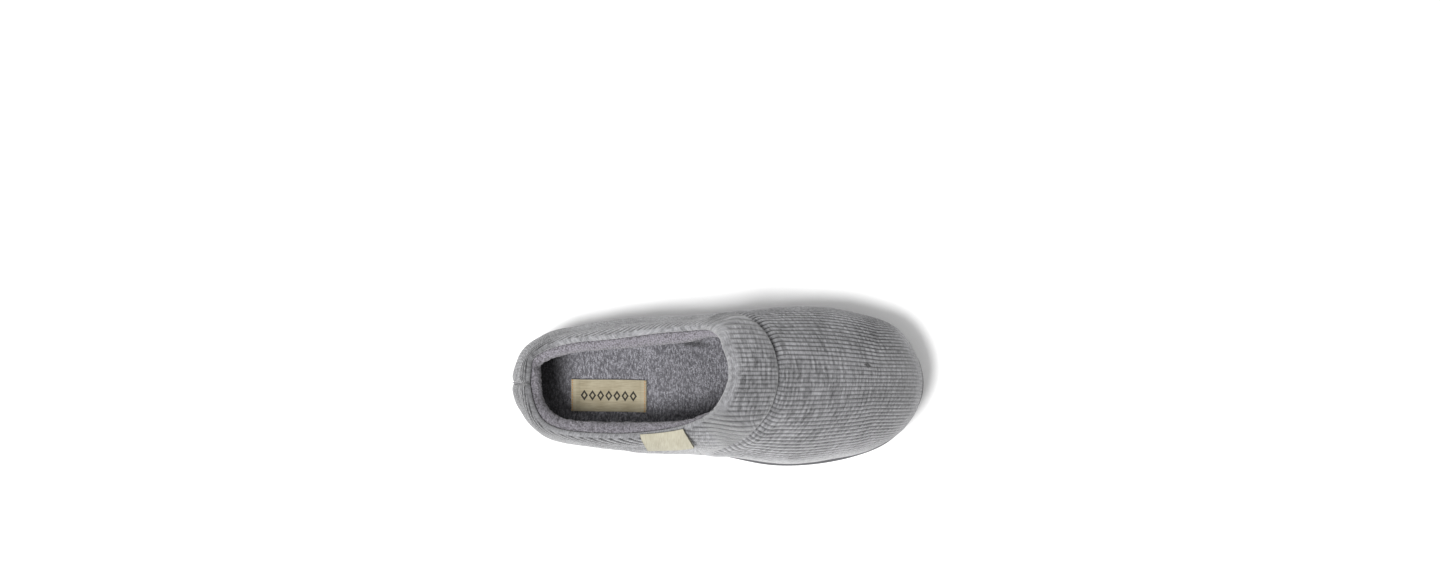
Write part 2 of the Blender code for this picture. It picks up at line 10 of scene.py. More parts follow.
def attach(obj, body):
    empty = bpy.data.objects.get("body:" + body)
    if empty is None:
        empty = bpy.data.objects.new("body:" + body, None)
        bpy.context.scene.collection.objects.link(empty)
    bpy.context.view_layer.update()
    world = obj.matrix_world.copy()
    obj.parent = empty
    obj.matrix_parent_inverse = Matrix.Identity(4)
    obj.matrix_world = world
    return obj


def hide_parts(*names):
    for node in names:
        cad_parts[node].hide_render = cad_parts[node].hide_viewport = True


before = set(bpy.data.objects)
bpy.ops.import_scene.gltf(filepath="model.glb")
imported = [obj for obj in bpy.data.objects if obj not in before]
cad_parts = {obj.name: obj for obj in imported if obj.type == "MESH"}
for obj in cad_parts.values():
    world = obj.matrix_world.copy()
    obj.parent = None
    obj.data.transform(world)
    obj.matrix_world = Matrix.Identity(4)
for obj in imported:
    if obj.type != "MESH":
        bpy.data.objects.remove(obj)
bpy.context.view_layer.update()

bl_info = {
    "name": "Knitted slipper",
    "version": (1, 0, 0),
    "blender": (4, 5, 0),
    "location": "3D View > Sidebar > Slipper",
    "description": "Builds a ribbed knit slipper with a padded cuff, terry lining and moulded sole",
    "category": "Add Mesh",
}

MM = 0.001
ORIGIN = np.array((131.026, -0.191, 0.0))  # the row frame's origin in the shoe's own sizes
BODY = "root"
TAU = 2.0 * math.pi


# Form of the last, as in the part's source, with the outlines and the seam set as the knit lies on it

AXIS_Y = 2.2  # the straight line that half-widths are taken from
FULLNESS = 2.2  # how squarely a section meets its crown

# The widest line of the knitted form, seen from above
FORM_HEEL_X = 0.0
FORM_TOE_X = 261.2
FORM_HEEL_RADIUS = 36.0
FORM_TOE_RADIUS = 32.0
FORM_OUTLINE = (
    # x, medial, lateral
    (8.8, 23.7, 22.7),
    (18.5, 30.2, 32.0),
    (38.0, 36.0, 38.6),
    (57.0, 39.1, 41.0),
    (75.6, 40.8, 42.9),
    (105.0, 42.4, 45.0),
    (133.5, 43.7, 46.4),
    (160.0, 46.7, 50.0),
    (183.5, 48.2, 51.0),
    (208.5, 46.8, 47.5),
    (224.0, 43.0, 44.0),
    (238.5, 38.4, 37.0),
    (249.2, 30.4, 28.8),
)

# The outsole's own outline, which shows past the knit at the ball and the toe
SOLE_HEEL_X = 1.8
SOLE_TOE_X = 262.8
SOLE_HEEL_RADIUS = 35.0
SOLE_TOE_RADIUS = 32.0
SOLE_OUTLINE = (
    # x, medial, lateral
    (8.8, 22.0, 21.0),
    (18.5, 28.4, 30.2),
    (38.0, 34.2, 36.8),
    (57.0, 37.2, 39.4),
    (75.6, 38.8, 41.4),
    (105.0, 40.2, 44.0),
    (133.5, 42.0, 47.0),
    (160.0, 45.4, 52.3),
    (183.5, 47.2, 53.1),
    (208.5, 47.0, 49.8),
    (224.0, 43.8, 45.6),
    (238.5, 39.4, 39.0),
    (249.2, 31.4, 30.0),
)

# Heights of the form along the shoe, with the crown's place across it and each side's squareness
HEEL_UPRIGHT_RADIUS = 44.0
TOE_UPRIGHT_RADIUS = 17.0
SECTIONS = (
    # x, crown_z, crown_y, medial_power, lateral_power
    (12.0, 61.0, 2.0, 3.0, 3.2),
    (30.0, 67.5, 2.0, 2.8, 4.6),
    (60.0, 70.5, 2.5, 2.7, 3.9),
    (100.0, 76.0, 4.0, 2.6, 2.9),
    (137.0, 79.5, 7.5, 2.4, 2.5),
    (169.0, 75.0, 8.5, 2.3, 2.3),
    (200.0, 66.5, 7.5, 2.2, 2.3),
    (220.0, 60.0, 6.0, 2.2, 2.3),
    (235.0, 53.5, 4.5, 2.2, 2.3),
    (250.0, 44.5, 3.0, 2.2, 2.2),
)

# Top of the outsole's rim, and how far above it the form is widest
RIM_HEIGHT = (
    # x, z, bulge
    (0.0, 24.0, 9.5),
    (60.0, 22.5, 9.0),
    (120.0, 20.0, 9.0),
    (170.0, 17.0, 9.0),
    (205.0, 17.0, 8.0),
    (240.0, 19.0, 7.5),
    (262.0, 21.5, 6.5),
)
TUCK = 2.5  # how far the form turns in again under its widest line
TUCK_ANGLE = 65.0
GAP = 0.3

# Top edge of the collar: each meridian runs in plan from here to the widest line at foot_x
TOPLINE = (
    # side, foot_x, x, y, roll, cuff
    ("heel", 0.0, 12.6, 1.6, 8.5, 3.0),
    ("medial", 6.0, 13.4, 12.5, 8.5, 3.0),
    ("medial", 20.0, 18.3, 21.5, 8.0, 3.0),
    ("medial", 40.0, 39.5, 29.0, 7.5, 3.0),
    ("medial", 62.0, 60.8, 31.0, 7.5, 3.0),
    ("medial", 85.0, 84.0, 34.0, 8.0, 3.0),
    ("medial", 108.0, 105.0, 36.2, 8.0, 3.2),
    ("medial", 130.0, 121.0, 35.6, 6.5, 4.0),
    ("medial", 155.0, 130.5, 31.8, 4.5, 5.0),
    ("medial", 192.0, 134.5, 25.2, 4.0, 5.5),
    ("medial", 235.0, 137.7, 16.4, 4.0, 5.5),
    ("toe", 261.2, 138.7, 8.0, 4.0, 5.5),
    ("lateral", 240.0, 137.8, 1.0, 4.0, 5.5),
    ("lateral", 206.0, 133.7, -8.2, 4.0, 5.5),
    ("lateral", 166.0, 127.0, -16.2, 4.0, 5.2),
    ("lateral", 136.0, 117.0, -22.0, 4.5, 4.6),
    ("lateral", 110.0, 100.0, -27.6, 6.5, 3.8),
    ("lateral", 86.0, 81.0, -31.0, 8.0, 3.2),
    ("lateral", 62.0, 61.0, -31.6, 8.0, 3.0),
    ("lateral", 42.0, 41.5, -30.4, 7.5, 3.0),
    ("lateral", 24.0, 27.0, -26.6, 8.0, 3.0),
    ("lateral", 8.0, 17.6, -17.2, 8.5, 3.0),
)

# Where the cuff meets the vamp, in plan, from the lateral wall over the instep to the medial wall
ARC_SEAM = (
    # x, y
    (116.5, -46.5),
    (126.1, -40.2),
    (136.5, -35.2),
    (145.2, -30.4),
    (152.1, -24.4),
    (158.6, -16.5),
    (162.8, -8.0),
    (165.1, 1.5),
    (165.4, 10.1),
    (164.1, 17.5),
    (161.5, 25.0),
    (157.1, 32.2),
    (151.7, 37.4),
    (145.0, 41.4),
    (130.0, 47.0),
)
VAMP_WALL = 4.0
QUARTER_WALL = 3.2

# Outsole: rings from the ground up. inset is from the sole's outline or from the seat, the inner edge of
# the upper's foot, and part is the share of the side's height
SOLE_RINGS = (
    # outline, inset, part, extra
    ("sole", 3.6, 0.00, 0.0),
    ("sole", 1.2, 0.00, 1.8),
    ("sole", 0.3, 0.00, 4.2),
    ("sole", 0.0, 0.40, 0.0),
    ("sole", 0.9, 0.44, 0.0),
    ("sole", 0.9, 0.55, 0.0),
    ("sole", 0.0, 0.59, 0.0),
    ("sole", 0.0, 1.00, -1.6),
    ("sole", 1.2, 1.00, 0.0),
    ("seat", 0.2, 1.00, 0.0),
    ("seat", 0.4, 1.00, -3.0),
)
HEEL_FLAT_FROM = 22.0
ARCH_FROM = 90.0
ARCH_TO = 156.0
ARCH_RISE = 4.0
SPRING_FROM = 204.0
TOE_SPRING = 9.0
HEEL_BEVEL = 3.0
TREAD_RAIL = 9.0
TREAD_DEPTH = 2.6
TREAD_GROOVES = (
    # x, width
    (34.0, 5.0),
    (50.0, 5.0),
    (66.0, 5.0),
    (82.0, 5.0),
    (160.0, 5.0),
    (175.0, 5.0),
    (190.0, 5.0),
    (205.0, 5.0),
    (220.0, 5.0),
)

# Footbed and its two ribbons
RECESS = 3.0
FOOTBED_THICK = 7.2

LABEL_X = (37.3, 85.0)
LABEL_Y = (-16.2, 4.1)
LABEL_TILT = 0.021
LOZENGE_PITCH = 5.2
LOZENGE_TALL = 3.8  # half-height of a lozenge as wide as its pitch

TAG_FEET = (89.4, 124.8)  # along the top edge, heel side and toe side
TAG_DROP = (13.7, 11.3)
TAG_LIFT = 1.2

YARN_SPECK = (223.4, 12.9)
EYE_HEIGHT = 1050.0


def column(table, index):
    return np.array([row[index] for row in table], float)


def cubic(knots, values, at, period=0.0):
    """A smooth curve through the knots. With a period it joins up with itself."""
    knots = np.asarray(knots, float)
    values = np.asarray(values, float)
    at = np.asarray(at, float)
    if period:
        knots = np.concatenate([knots[-3:] - period, knots, knots[:3] + period])
        values = np.concatenate([values[-3:], values, values[:3]])
    count = len(knots)
    step = np.diff(knots)
    slope = np.diff(values) / step
    matrix = np.eye(count)
    right = np.zeros(count)
    for i in range(1, count - 1):
        matrix[i, i - 1] = step[i - 1]
        matrix[i, i] = 2.0 * (step[i - 1] + step[i])
        matrix[i, i + 1] = step[i]
        right[i] = 6.0 * (slope[i] - slope[i - 1])
    bend = np.linalg.solve(matrix, right)
    i = np.clip(np.searchsorted(knots, at) - 1, 0, count - 2)
    a = (knots[i + 1] - at) / step[i]
    b = 1.0 - a
    curved = (a**3 - a) * bend[i] + (b**3 - b) * bend[i + 1]
    return a * values[i] + b * values[i + 1] + curved * step[i] ** 2 / 6.0


def smooth(low, high, at):
    part = np.clip((np.asarray(at, float) - low) / (high - low), 0.0, 1.0)
    return part * part * (3.0 - 2.0 * part)


class Outline:
    """A closed outline from half-widths each side of the axis, rounded at heel and toe."""

    def __init__(self, heel_x, toe_x, heel_radius, toe_radius, table):
        self.heel_x = heel_x
        self.length = toe_x - heel_x
        x = column(table, 0)
        ends = [math.sqrt(r * self.length / 2.0) for r in (heel_radius, toe_radius)]
        turn = self.turn(x)
        self.turns = np.concatenate([[0.0], turn, [math.pi]])
        self.sides = []
        for side in (1, 2):
            ratio = column(table, side) / np.sin(turn)
            self.sides.append(np.concatenate([[ends[0]], ratio, [ends[1]]]))

    def turn(self, x):
        part = np.clip((np.asarray(x, float) - self.heel_x) / self.length, 0.0, 1.0)
        return np.arccos(1.0 - 2.0 * part)

    def half_widths(self, turn):
        """Medial and lateral half-width at a turn of 0 (heel) to pi (toe)."""
        return [np.sin(turn) * cubic(self.turns, side, turn) for side in self.sides]

    def at(self, turn):
        """Plan points at turns of 0 to 2 pi, up the medial side and back on the lateral side."""
        turn = np.mod(np.asarray(turn, float), TAU)
        folded = np.where(turn > math.pi, TAU - turn, turn)
        medial, lateral = self.half_widths(folded)
        x = self.heel_x + self.length * (1.0 - np.cos(folded)) / 2.0
        y = AXIS_Y + np.where(turn > math.pi, -lateral, medial)
        return np.stack([x, y], axis=-1)

    def normal(self, turn):
        """Outward plan normals."""
        along = self.at(np.asarray(turn) + 1e-3) - self.at(np.asarray(turn) - 1e-3)
        across = np.stack([-along[..., 1], along[..., 0]], axis=-1)
        return across / np.linalg.norm(across, axis=-1, keepdims=True)

    def inset(self, turn, by):
        return self.at(turn) - self.normal(turn) * np.asarray(by)[..., None]


FORM = Outline(FORM_HEEL_X, FORM_TOE_X, FORM_HEEL_RADIUS, FORM_TOE_RADIUS, FORM_OUTLINE)
SOLE = Outline(SOLE_HEEL_X, SOLE_TOE_X, SOLE_HEEL_RADIUS, SOLE_TOE_RADIUS, SOLE_OUTLINE)


def rim_z(x):
    return cubic(column(RIM_HEIGHT, 0), column(RIM_HEIGHT, 1), x)


def widest_z(x):
    return rim_z(x) + cubic(column(RIM_HEIGHT, 0), column(RIM_HEIGHT, 2), x)


def ground_z(x):
    """Underside of the sole: flat at heel and forefoot, raised at the arch and sprung at the toe."""
    x = np.asarray(x, float)
    arch = np.clip((x - ARCH_FROM) / (ARCH_TO - ARCH_FROM), 0.0, 1.0)
    spring = np.clip((x - SPRING_FROM) / (SOLE_TOE_X - SPRING_FROM), 0.0, 1.0)
    bevel = np.clip((HEEL_FLAT_FROM - x) / HEEL_FLAT_FROM, 0.0, 1.0)
    return ARCH_RISE * np.sin(math.pi * arch) ** 2 + TOE_SPRING * spring**1.8 + HEEL_BEVEL * bevel**2


def crown_y(x):
    own = cubic(column(SECTIONS, 0), column(SECTIONS, 2), x)
    return AXIS_Y + (own - AXIS_Y) * smooth(0.0, 0.5, np.sin(FORM.turn(x)))


def form_z(x, y):
    """Height of the knitted form above a plan point, by sections across the shoe."""
    x = np.asarray(x, float)
    turn = FORM.turn(x)
    medial, lateral = FORM.half_widths(turn)
    stations = column(SECTIONS, 0)
    turns = FORM.turn(stations)
    rise = (column(SECTIONS, 1) - widest_z(stations)) / np.sin(turns)
    ends = [math.sqrt(r * FORM.length / 2.0) for r in (HEEL_UPRIGHT_RADIUS, TOE_UPRIGHT_RADIUS)]
    rise = np.concatenate([[ends[0]], rise, [ends[1]]])
    height = np.sin(turn) * cubic(np.concatenate([[0.0], turns, [math.pi]]), rise, turn)
    crown = crown_y(x)
    power = np.where(
        y > crown,
        np.interp(x, stations, column(SECTIONS, 3)),
        np.interp(x, stations, column(SECTIONS, 4)),
    )
    reach = np.where(y > crown, AXIS_Y + medial - crown, crown - AXIS_Y + lateral)
    across = np.clip(np.abs(y - crown) / np.maximum(reach, 1e-6), 0.0, 1.0)
    return widest_z(x) + height * (1.0 - across**power) ** (1.0 / FULLNESS)


def topline(turn):
    """Plan point, roll thickness and cuff thickness of the top edge at each turn."""
    turns = []
    for side, foot, *_ in TOPLINE:
        own = float(FORM.turn(foot))
        turns.append(TAU - own if side == "lateral" else own)
    turn = np.mod(turn, TAU)
    return [cubic(turns, column(TOPLINE, i), turn, TAU) for i in (2, 3, 4, 5)]


def meridian(turn, way):
    """A point of the form: way 0 at the topline, 1 at the widest line and 2 at the sole's rim."""
    turn, way = np.broadcast_arrays(np.asarray(turn, float), np.asarray(way, float))
    start_x, start_y = topline(turn)[:2]
    foot = FORM.at(turn)
    part = np.clip(way, 0.0, 1.0)
    part = 1.0 - (1.0 - part) ** 2
    x = start_x + (foot[..., 0] - start_x) * part
    y = start_y + (foot[..., 1] - start_y) * part
    under = np.radians(TUCK_ANGLE) * np.clip(way - 1.0, 0.0, 1.0)
    most = math.radians(TUCK_ANGLE)
    inward = TUCK * (1.0 - np.cos(under)) / (1.0 - math.cos(most))
    drop = (widest_z(foot[..., 0]) - rim_z(foot[..., 0]) - GAP) * np.sin(under) / math.sin(most)
    normal = FORM.normal(turn)
    z = np.where(way < 1.0, form_z(x, y), widest_z(foot[..., 0]) - drop)
    return np.stack([x - normal[..., 0] * inward, y - normal[..., 1] * inward, z], axis=-1)


def seam_way(turn):
    """How far down each meridian the arc seam crosses it, or 2 where the cuff runs to the sole."""
    knots = np.linspace(0.0, 1.0, len(ARC_SEAM))
    fine = np.linspace(0.0, 1.0, 400)
    seam = np.stack([cubic(knots, column(ARC_SEAM, i), fine) for i in (0, 1)], axis=-1)
    found = np.full(len(turn), 2.0)
    start_x, start_y = topline(turn)[:2]
    feet = FORM.at(turn)
    for i in range(len(turn)):
        start = np.array([start_x[i], start_y[i]])
        along = feet[i] - start
        offset = seam - start
        side = along[0] * offset[:, 1] - along[1] * offset[:, 0]
        for k in np.nonzero(side[:-1] * side[1:] < 0.0)[0]:
            share = side[k] / (side[k] - side[k + 1])
            crossing = offset[k] + (offset[k + 1] - offset[k]) * share
            part = float(crossing @ along / (along @ along))
            if 0.0 < part < 1.0:
                found[i] = 1.0 - math.sqrt(1.0 - part)
    return found


def unit(vectors):
    return vectors / np.maximum(np.linalg.norm(vectors, axis=-1, keepdims=True), 1e-12)


def form_normal(turn, way):
    """Outward normals of the form by small steps on it."""
    up = np.minimum(way + 0.004, 2.0)
    down = np.maximum(way - 0.004, 0.0)
    along = meridian(turn, up) - meridian(turn, down)
    round_it = meridian(turn + 0.004, way) - meridian(turn - 0.004, way)
    return unit(np.cross(round_it, along))


def half_round(outer, inner, tangent, depth, steps):
    """Rows round an edge from the outer skin to the inner skin, bulging along the tangent."""
    middle = (outer + inner) / 2.0
    radius = (outer - inner) / 2.0
    size = np.linalg.norm(radius, axis=-1, keepdims=True)
    rows = []
    for angle in steps:
        a = math.radians(angle)
        rows.append(middle + math.cos(a) * radius + math.sin(a) * size * tangent * depth)
    return rows


# Making pieces

def set_back(cuff):
    """How far the padded body stands back under the cuff."""
    return (GAP + 3.0) * (1.0 - smooth(3.1, 4.6, cuff))


def low_wall(cuff):
    return QUARTER_WALL + (VAMP_WALL - QUARTER_WALL) * smooth(3.1, 4.6, cuff)


def spaced_turns(spacing, share=0.5):
    """Turns round the shoe whose meridians stand about spacing(x) apart at that share of the wall."""
    fine = np.linspace(0.0, TAU, 3001)
    path = meridian(fine, np.full(len(fine), share))
    step = np.linalg.norm(np.diff(path, axis=0), axis=1)
    middle = (path[1:, 0] + path[:-1, 0]) / 2.0
    count = np.concatenate([[0.0], np.cumsum(step / spacing(middle))])
    total = int(round(count[-1]))
    return np.interp(np.arange(total) * count[-1] / total, count, fine)


def length_ways(turn, low, high, parts):
    """Ways down each meridian at the given shares of its length between two ways, and that length."""
    dense = np.linspace(0.0, 2.0, 401)
    path = meridian(turn[:, None], dense[None, :])
    step = np.linalg.norm(np.diff(path, axis=1), axis=-1)
    length = np.concatenate([np.zeros((len(turn), 1)), np.cumsum(step, axis=1)], axis=1)
    ways = np.zeros((len(parts), len(turn)))
    spans = np.zeros(len(turn))
    for i in range(len(turn)):
        start = np.interp(low[i], dense, length[i])
        spans[i] = np.interp(high[i], dense, length[i]) - start
        ways[:, i] = np.interp(start + parts * spans[i], length[i], dense)
    return ways, spans


def grid_normals(points, wrap_rows, wrap_columns):
    """Normals of a grid of points, from its own rows and columns."""

    def slope(axis, wrap):
        if wrap:
            return np.roll(points, -1, axis=axis) - np.roll(points, 1, axis=axis)
        return np.gradient(points, axis=axis)

    return unit(np.cross(slope(1, wrap_columns), slope(0, wrap_rows)))


def grid_faces(rows, columns, wrap_rows=False, wrap_columns=False, start=0):
    """Quads between the neighbouring points of a grid."""
    i = np.arange(rows if wrap_rows else rows - 1)
    k = np.arange(columns if wrap_columns else columns - 1)
    i, k = [a.ravel() for a in np.meshgrid(i, k, indexing="ij")]
    below, beside = (i + 1) % rows, (k + 1) % columns
    corners = (i * columns + k, below * columns + k, below * columns + beside, i * columns + beside)
    return (np.stack(corners, axis=1) + start).tolist()


def sparse_rows(count, apart):
    """Row numbers from the last to the first at that distance, for a hidden side that needs fewer."""
    picks = list(range(count - 1, -1, -apart))
    return picks if picks[-1] == 0 else picks + [0]


def rough(points, size, seed):
    """Seeded noise of about -1 to 1 at each point, with lumps of that size in mm."""
    shift = Vector((seed * 13.7, seed * 7.3, seed * 3.1))
    flat = points.reshape(-1, 3) / size
    found = np.zeros(len(flat))
    for i, p in enumerate(flat):
        at = Vector(p) + shift
        found[i] = noise.noise(at) + 0.5 * noise.noise(at * 2.1)
    return found.reshape(points.shape[:-1])


def piece(name, points, faces, values=None):
    """An object in the row frame from points in the shoe's sizes. values are kept as attributes."""
    points = (np.asarray(points, float).reshape(-1, 3) - ORIGIN) * MM
    mesh = bpy.data.meshes.new(name)
    mesh.from_pydata(points.tolist(), [], faces)
    for key, value in (values or {}).items():
        value = np.asarray(value, np.float32)
        if value.shape[-1:] == (3,) and value.ndim == 3:
            made = mesh.attributes.new(key, "FLOAT_VECTOR", "POINT")
            made.data.foreach_set("vector", value.reshape(-1))
        else:
            made = mesh.attributes.new(key, "FLOAT", "POINT")
            made.data.foreach_set("value", value.reshape(-1))
    mesh.update()
    mesh.calc_loop_triangles()
    triangles = np.empty(len(mesh.loop_triangles) * 3, np.int32)
    mesh.loop_triangles.foreach_get("vertices", triangles)
    # The volume of a shell whose faces point inwards is below zero.
    if np.linalg.det(points[triangles.reshape(-1, 3)]).sum() < 0.0:
        mesh.flip_normals()
    mesh.shade_smooth()
    made = bpy.data.objects.new(name, mesh)
    bpy.context.scene.collection.objects.link(made)
    return made


def dress(made, material, nodes=()):
    """Gives a finished piece its material and its body, and hides the nodes it stands for."""
    made.data.materials.clear()
    made.data.materials.append(material)
    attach(made, BODY)
    if nodes:
        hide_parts(*nodes)


def add(tree, kind, *inputs, out=0, **settings):
    """Adds a node with its settings and returns one output of it, or all of them where out is None. The
    inputs are constants, hex colours or links in the node's own order, or one dict of them by socket."""
    made = tree.nodes.new(kind if "Node" in kind else "ShaderNode" + kind)
    for key, value in settings.items():
        setattr(made, key, value)
    named = inputs[0] if inputs and isinstance(inputs[0], dict) else dict(enumerate(inputs))
    for key, value in named.items():
        if isinstance(value, bpy.types.NodeSocket):
            tree.links.new(value, made.inputs[key])
        else:
            made.inputs[key].default_value = linear(value) if str(value).startswith("#") else value
    return made.outputs if out is None else made.outputs[out]


def run_tree(made, tree, settings):
    """Runs a Geometry Nodes tree on an object and keeps the result as its plain mesh."""
    modifier = made.modifiers.new(tree.name, "NODES")
    modifier.node_group = tree
    for item in tree.interface.items_tree:
        if item.item_type == "SOCKET" and item.in_out == "INPUT" and item.name in settings:
            modifier[item.identifier] = settings[item.name]
    keep_result(made)
    made.data.shade_smooth()


def keep_result(made):
    """Replaces an object's mesh by what its modifiers make of it."""
    graph = bpy.context.evaluated_depsgraph_get()
    mesh = bpy.data.meshes.new_from_object(made.evaluated_get(graph))
    made.modifiers.clear()
    old = made.data
    made.data = mesh
    bpy.data.meshes.remove(old)
    mesh.name = made.name


def new_tree(name, sockets):
    """An empty Geometry Nodes tree with a geometry input and output and its named inputs."""
    tree = bpy.data.node_groups.new(name, "GeometryNodeTree")
    face = tree.interface
    for way in ("OUTPUT", "INPUT"):
        face.new_socket("Geometry", in_out=way, socket_type="NodeSocketGeometry")
    for label, value in sockets:
        face.new_socket(label, in_out="INPUT", socket_type="NodeSocketFloat").default_value = value
    face.new_socket("Material", in_out="INPUT", socket_type="NodeSocketMaterial")
    return tree, partial(add, tree)


def rib_tree():
    """Raises the ribs of a knit along the piece's own normals. The rib number and the rise are its
    attributes."""
    tree, node = new_tree("rib_knit", (("Rib Height", 0.0004), ("Roundness", 2.4)))
    entry = node("NodeGroupInput", out=None)
    rib, rise = [node("GeometryNodeInputNamedAttribute", key, data_type="FLOAT") for key in ("rib", "rise")]
    out = node("GeometryNodeInputNamedAttribute", "out", data_type="FLOAT_VECTOR")
    part = node("Math", rib, operation="FRACT")
    part = node("Math", part, 2.0, -1.0, operation="MULTIPLY_ADD")
    away = node("Math", part, operation="ABSOLUTE")
    valley = node("Math", away, entry["Roundness"], operation="POWER")
    crest = node("Math", 1.0, valley, operation="SUBTRACT")
    lift = node("Math", crest, rise, operation="MULTIPLY")
    height = node("Math", lift, entry["Rib Height"], operation="MULTIPLY")
    offset = node("VectorMath", {"Vector": out, "Scale": height}, operation="SCALE")
    moved = node("GeometryNodeSetPosition", {"Geometry": entry["Geometry"], "Offset": offset})
    real = node("GeometryNodeRealizeInstances", moved)
    coated = node("GeometryNodeSetMaterial", {"Geometry": real, "Material": entry["Material"]})
    node("NodeGroupOutput", coated, out=None)
    return tree


def stitch_tree():
    """Lays rounded stitches end to end along a line of edges."""
    tree, node = new_tree("running_stitch", (("Pitch", 0.0026), ("Length", 0.0017), ("Thread", 0.0003)))
    entry = node("NodeGroupInput", out=None)
    line = node("GeometryNodeMeshToCurve", {"Mesh": entry["Geometry"]})
    places = node("GeometryNodeResampleCurve", {"Curve": line, "Length": entry["Pitch"]}, mode="LENGTH")
    bead = node("GeometryNodeMeshUVSphere", {"Segments": 8, "Rings": 5, "Radius": 1.0}, out="Mesh")
    half = node("Math", entry["Length"], 0.5, operation="MULTIPLY")
    size = node("CombineXYZ", entry["Thread"], entry["Thread"], half)
    along = node("GeometryNodeInputTangent")
    turned = node("FunctionNodeAlignRotationToVector", {"Vector": along}, axis="Z")
    sewn = node("GeometryNodeInstanceOnPoints",
                {"Points": places, "Instance": bead, "Rotation": turned, "Scale": size})
    real = node("GeometryNodeRealizeInstances", sewn)
    coated = node("GeometryNodeSetMaterial", {"Geometry": real, "Material": entry["Material"]})
    node("NodeGroupOutput", coated, out=None)
    return tree


def stitches(name, lines, material, pitch, length, thread):
    """One piece of running stitches along one or more lines of points in the shoe's sizes."""
    points, edges = [], []
    for line in lines:
        start = len(points)
        points += [tuple(p) for p in (np.asarray(line) - ORIGIN) * MM]
        edges += [(start + i, start + i + 1) for i in range(len(line) - 1)]
    mesh = bpy.data.meshes.new(name)
    mesh.from_pydata(points, edges, [])
    made = bpy.data.objects.new(name, mesh)
    bpy.context.scene.collection.objects.link(made)
    run_tree(made, stitch_tree(), {
        "Pitch": pitch * MM, "Length": length * MM, "Thread": thread * MM, "Material": material})
    dress(made, material)


# The vamp: ribs run along the shoe at an even distance round it

VAMP_PITCH = 2.3
RIB_POINTS = 7
VAMP_ROWS = 84
TUCK_ROWS = 20
BEND = 9.0  # length over which the ribs swing from square to the seam to straight ahead
LAP = 3.0


def girths(x):
    """Points across sections of the form, with their distance round it from the axis plane."""
    x = np.asarray(x, float)[:, None]
    lean = np.sin(np.linspace(-math.pi / 2.0, math.pi / 2.0, 721))[None, :]
    medial, lateral = FORM.half_widths(FORM.turn(x))
    crown = crown_y(x)
    y = crown + lean * np.where(lean > 0.0, AXIS_Y + medial - crown, crown - AXIS_Y + lateral)
    z = form_z(x, y)
    step = np.hypot(np.diff(y, axis=1), np.diff(z, axis=1))
    girth = np.concatenate([np.zeros((len(x), 1)), np.cumsum(step, axis=1)], axis=1)
    for i in range(len(x)):
        girth[i] -= np.interp(AXIS_Y, y[i], girth[i])
    return y, z, girth


class Sections:
    """The form by turn along the shoe and by distance round it."""

    def __init__(self, start_x):
        self.turns = np.linspace(float(FORM.turn(start_x)), math.pi - 2e-3, 240)
        x = FORM.at(self.turns)[:, 0]
        y, z, girth = girths(x)
        # Each side's girth always falls towards the toe, so that every rib runs out on the widest line.
        self.lateral, self.medial = -girth[:, 0], girth[:, -1].copy()
        for side in (self.lateral, self.medial):
            for i in range(1, len(x)):
                side[i] = min(side[i], side[i - 1] - 0.11 * (x[i] - x[i - 1]))
        self.shares = np.linspace(-1.0, 1.0, 481)
        self.y = np.zeros((len(x), len(self.shares)))
        self.z = np.zeros_like(self.y)
        for i in range(len(x)):
            at = np.where(self.shares < 0.0, -self.shares * girth[i, 0], self.shares * girth[i, -1])
            self.y[i] = np.interp(at, girth[i], y[i])
            self.z[i] = np.interp(at, girth[i], z[i])

    def end(self, girth):
        """The turn where that girth comes down to the widest line."""
        found = np.interp(-np.abs(girth), -self.medial, self.turns)
        return np.where(girth < 0.0, np.interp(-np.abs(girth), -self.lateral, self.turns), found)

    def most(self, turn, girth):
        own = np.where(girth < 0.0, np.interp(turn, self.turns, self.lateral),
                       np.interp(turn, self.turns, self.medial))
        return np.maximum(own, 1e-6)

    def at(self, turn, girth):
        share = np.clip(girth / self.most(turn, girth), -1.0, 1.0)
        row = np.clip((turn - self.turns[0]) / (self.turns[1] - self.turns[0]), 0.0, len(self.turns) - 1.001)
        place = (share + 1.0) / 2.0 * (len(self.shares) - 1)
        place = np.clip(place, 0.0, len(self.shares) - 1.001)
        i, k = row.astype(int), place.astype(int)
        a, b = row - i, place - k
        found = []
        for table in (self.y, self.z):
            low = table[i, k] * (1.0 - b) + table[i, k + 1] * b
            high = table[i + 1, k] * (1.0 - b) + table[i + 1, k + 1] * b
            found.append(low * (1.0 - a) + high * a)
        x = FORM.heel_x + FORM.length * (1.0 - np.cos(turn)) / 2.0
        return np.stack([x, found[0], found[1]], axis=-1)


def seam_line(form):
    """The arc seam's points inside the form's outline, with their girth and the seam's slant."""
    knots = np.linspace(0.0, 1.0, len(ARC_SEAM))
    fine = np.linspace(0.0, 1.0, 361)
    x, y = [cubic(knots, column(ARC_SEAM, i), fine) for i in (0, 1)]
    across, _, girth = girths(x)
    inside = (y > across[:, 0]) & (y < across[:, -1])
    x, y, across, girth = x[inside], y[inside], across[inside], girth[inside]
    round_it = np.array([np.interp(y[i], across[i], girth[i]) for i in range(len(x))])
    round_it[0], round_it[-1] = girth[0, 0], girth[-1, -1]
    own = np.where(round_it < 0.0, -girth[:, 0], girth[:, -1])
    turn = FORM.turn(x)
    round_it = round_it / own * form.most(turn, round_it)
    slant = -np.gradient(x) / np.gradient(round_it)
    return x, round_it, np.clip(slant, -1.2, 1.2)


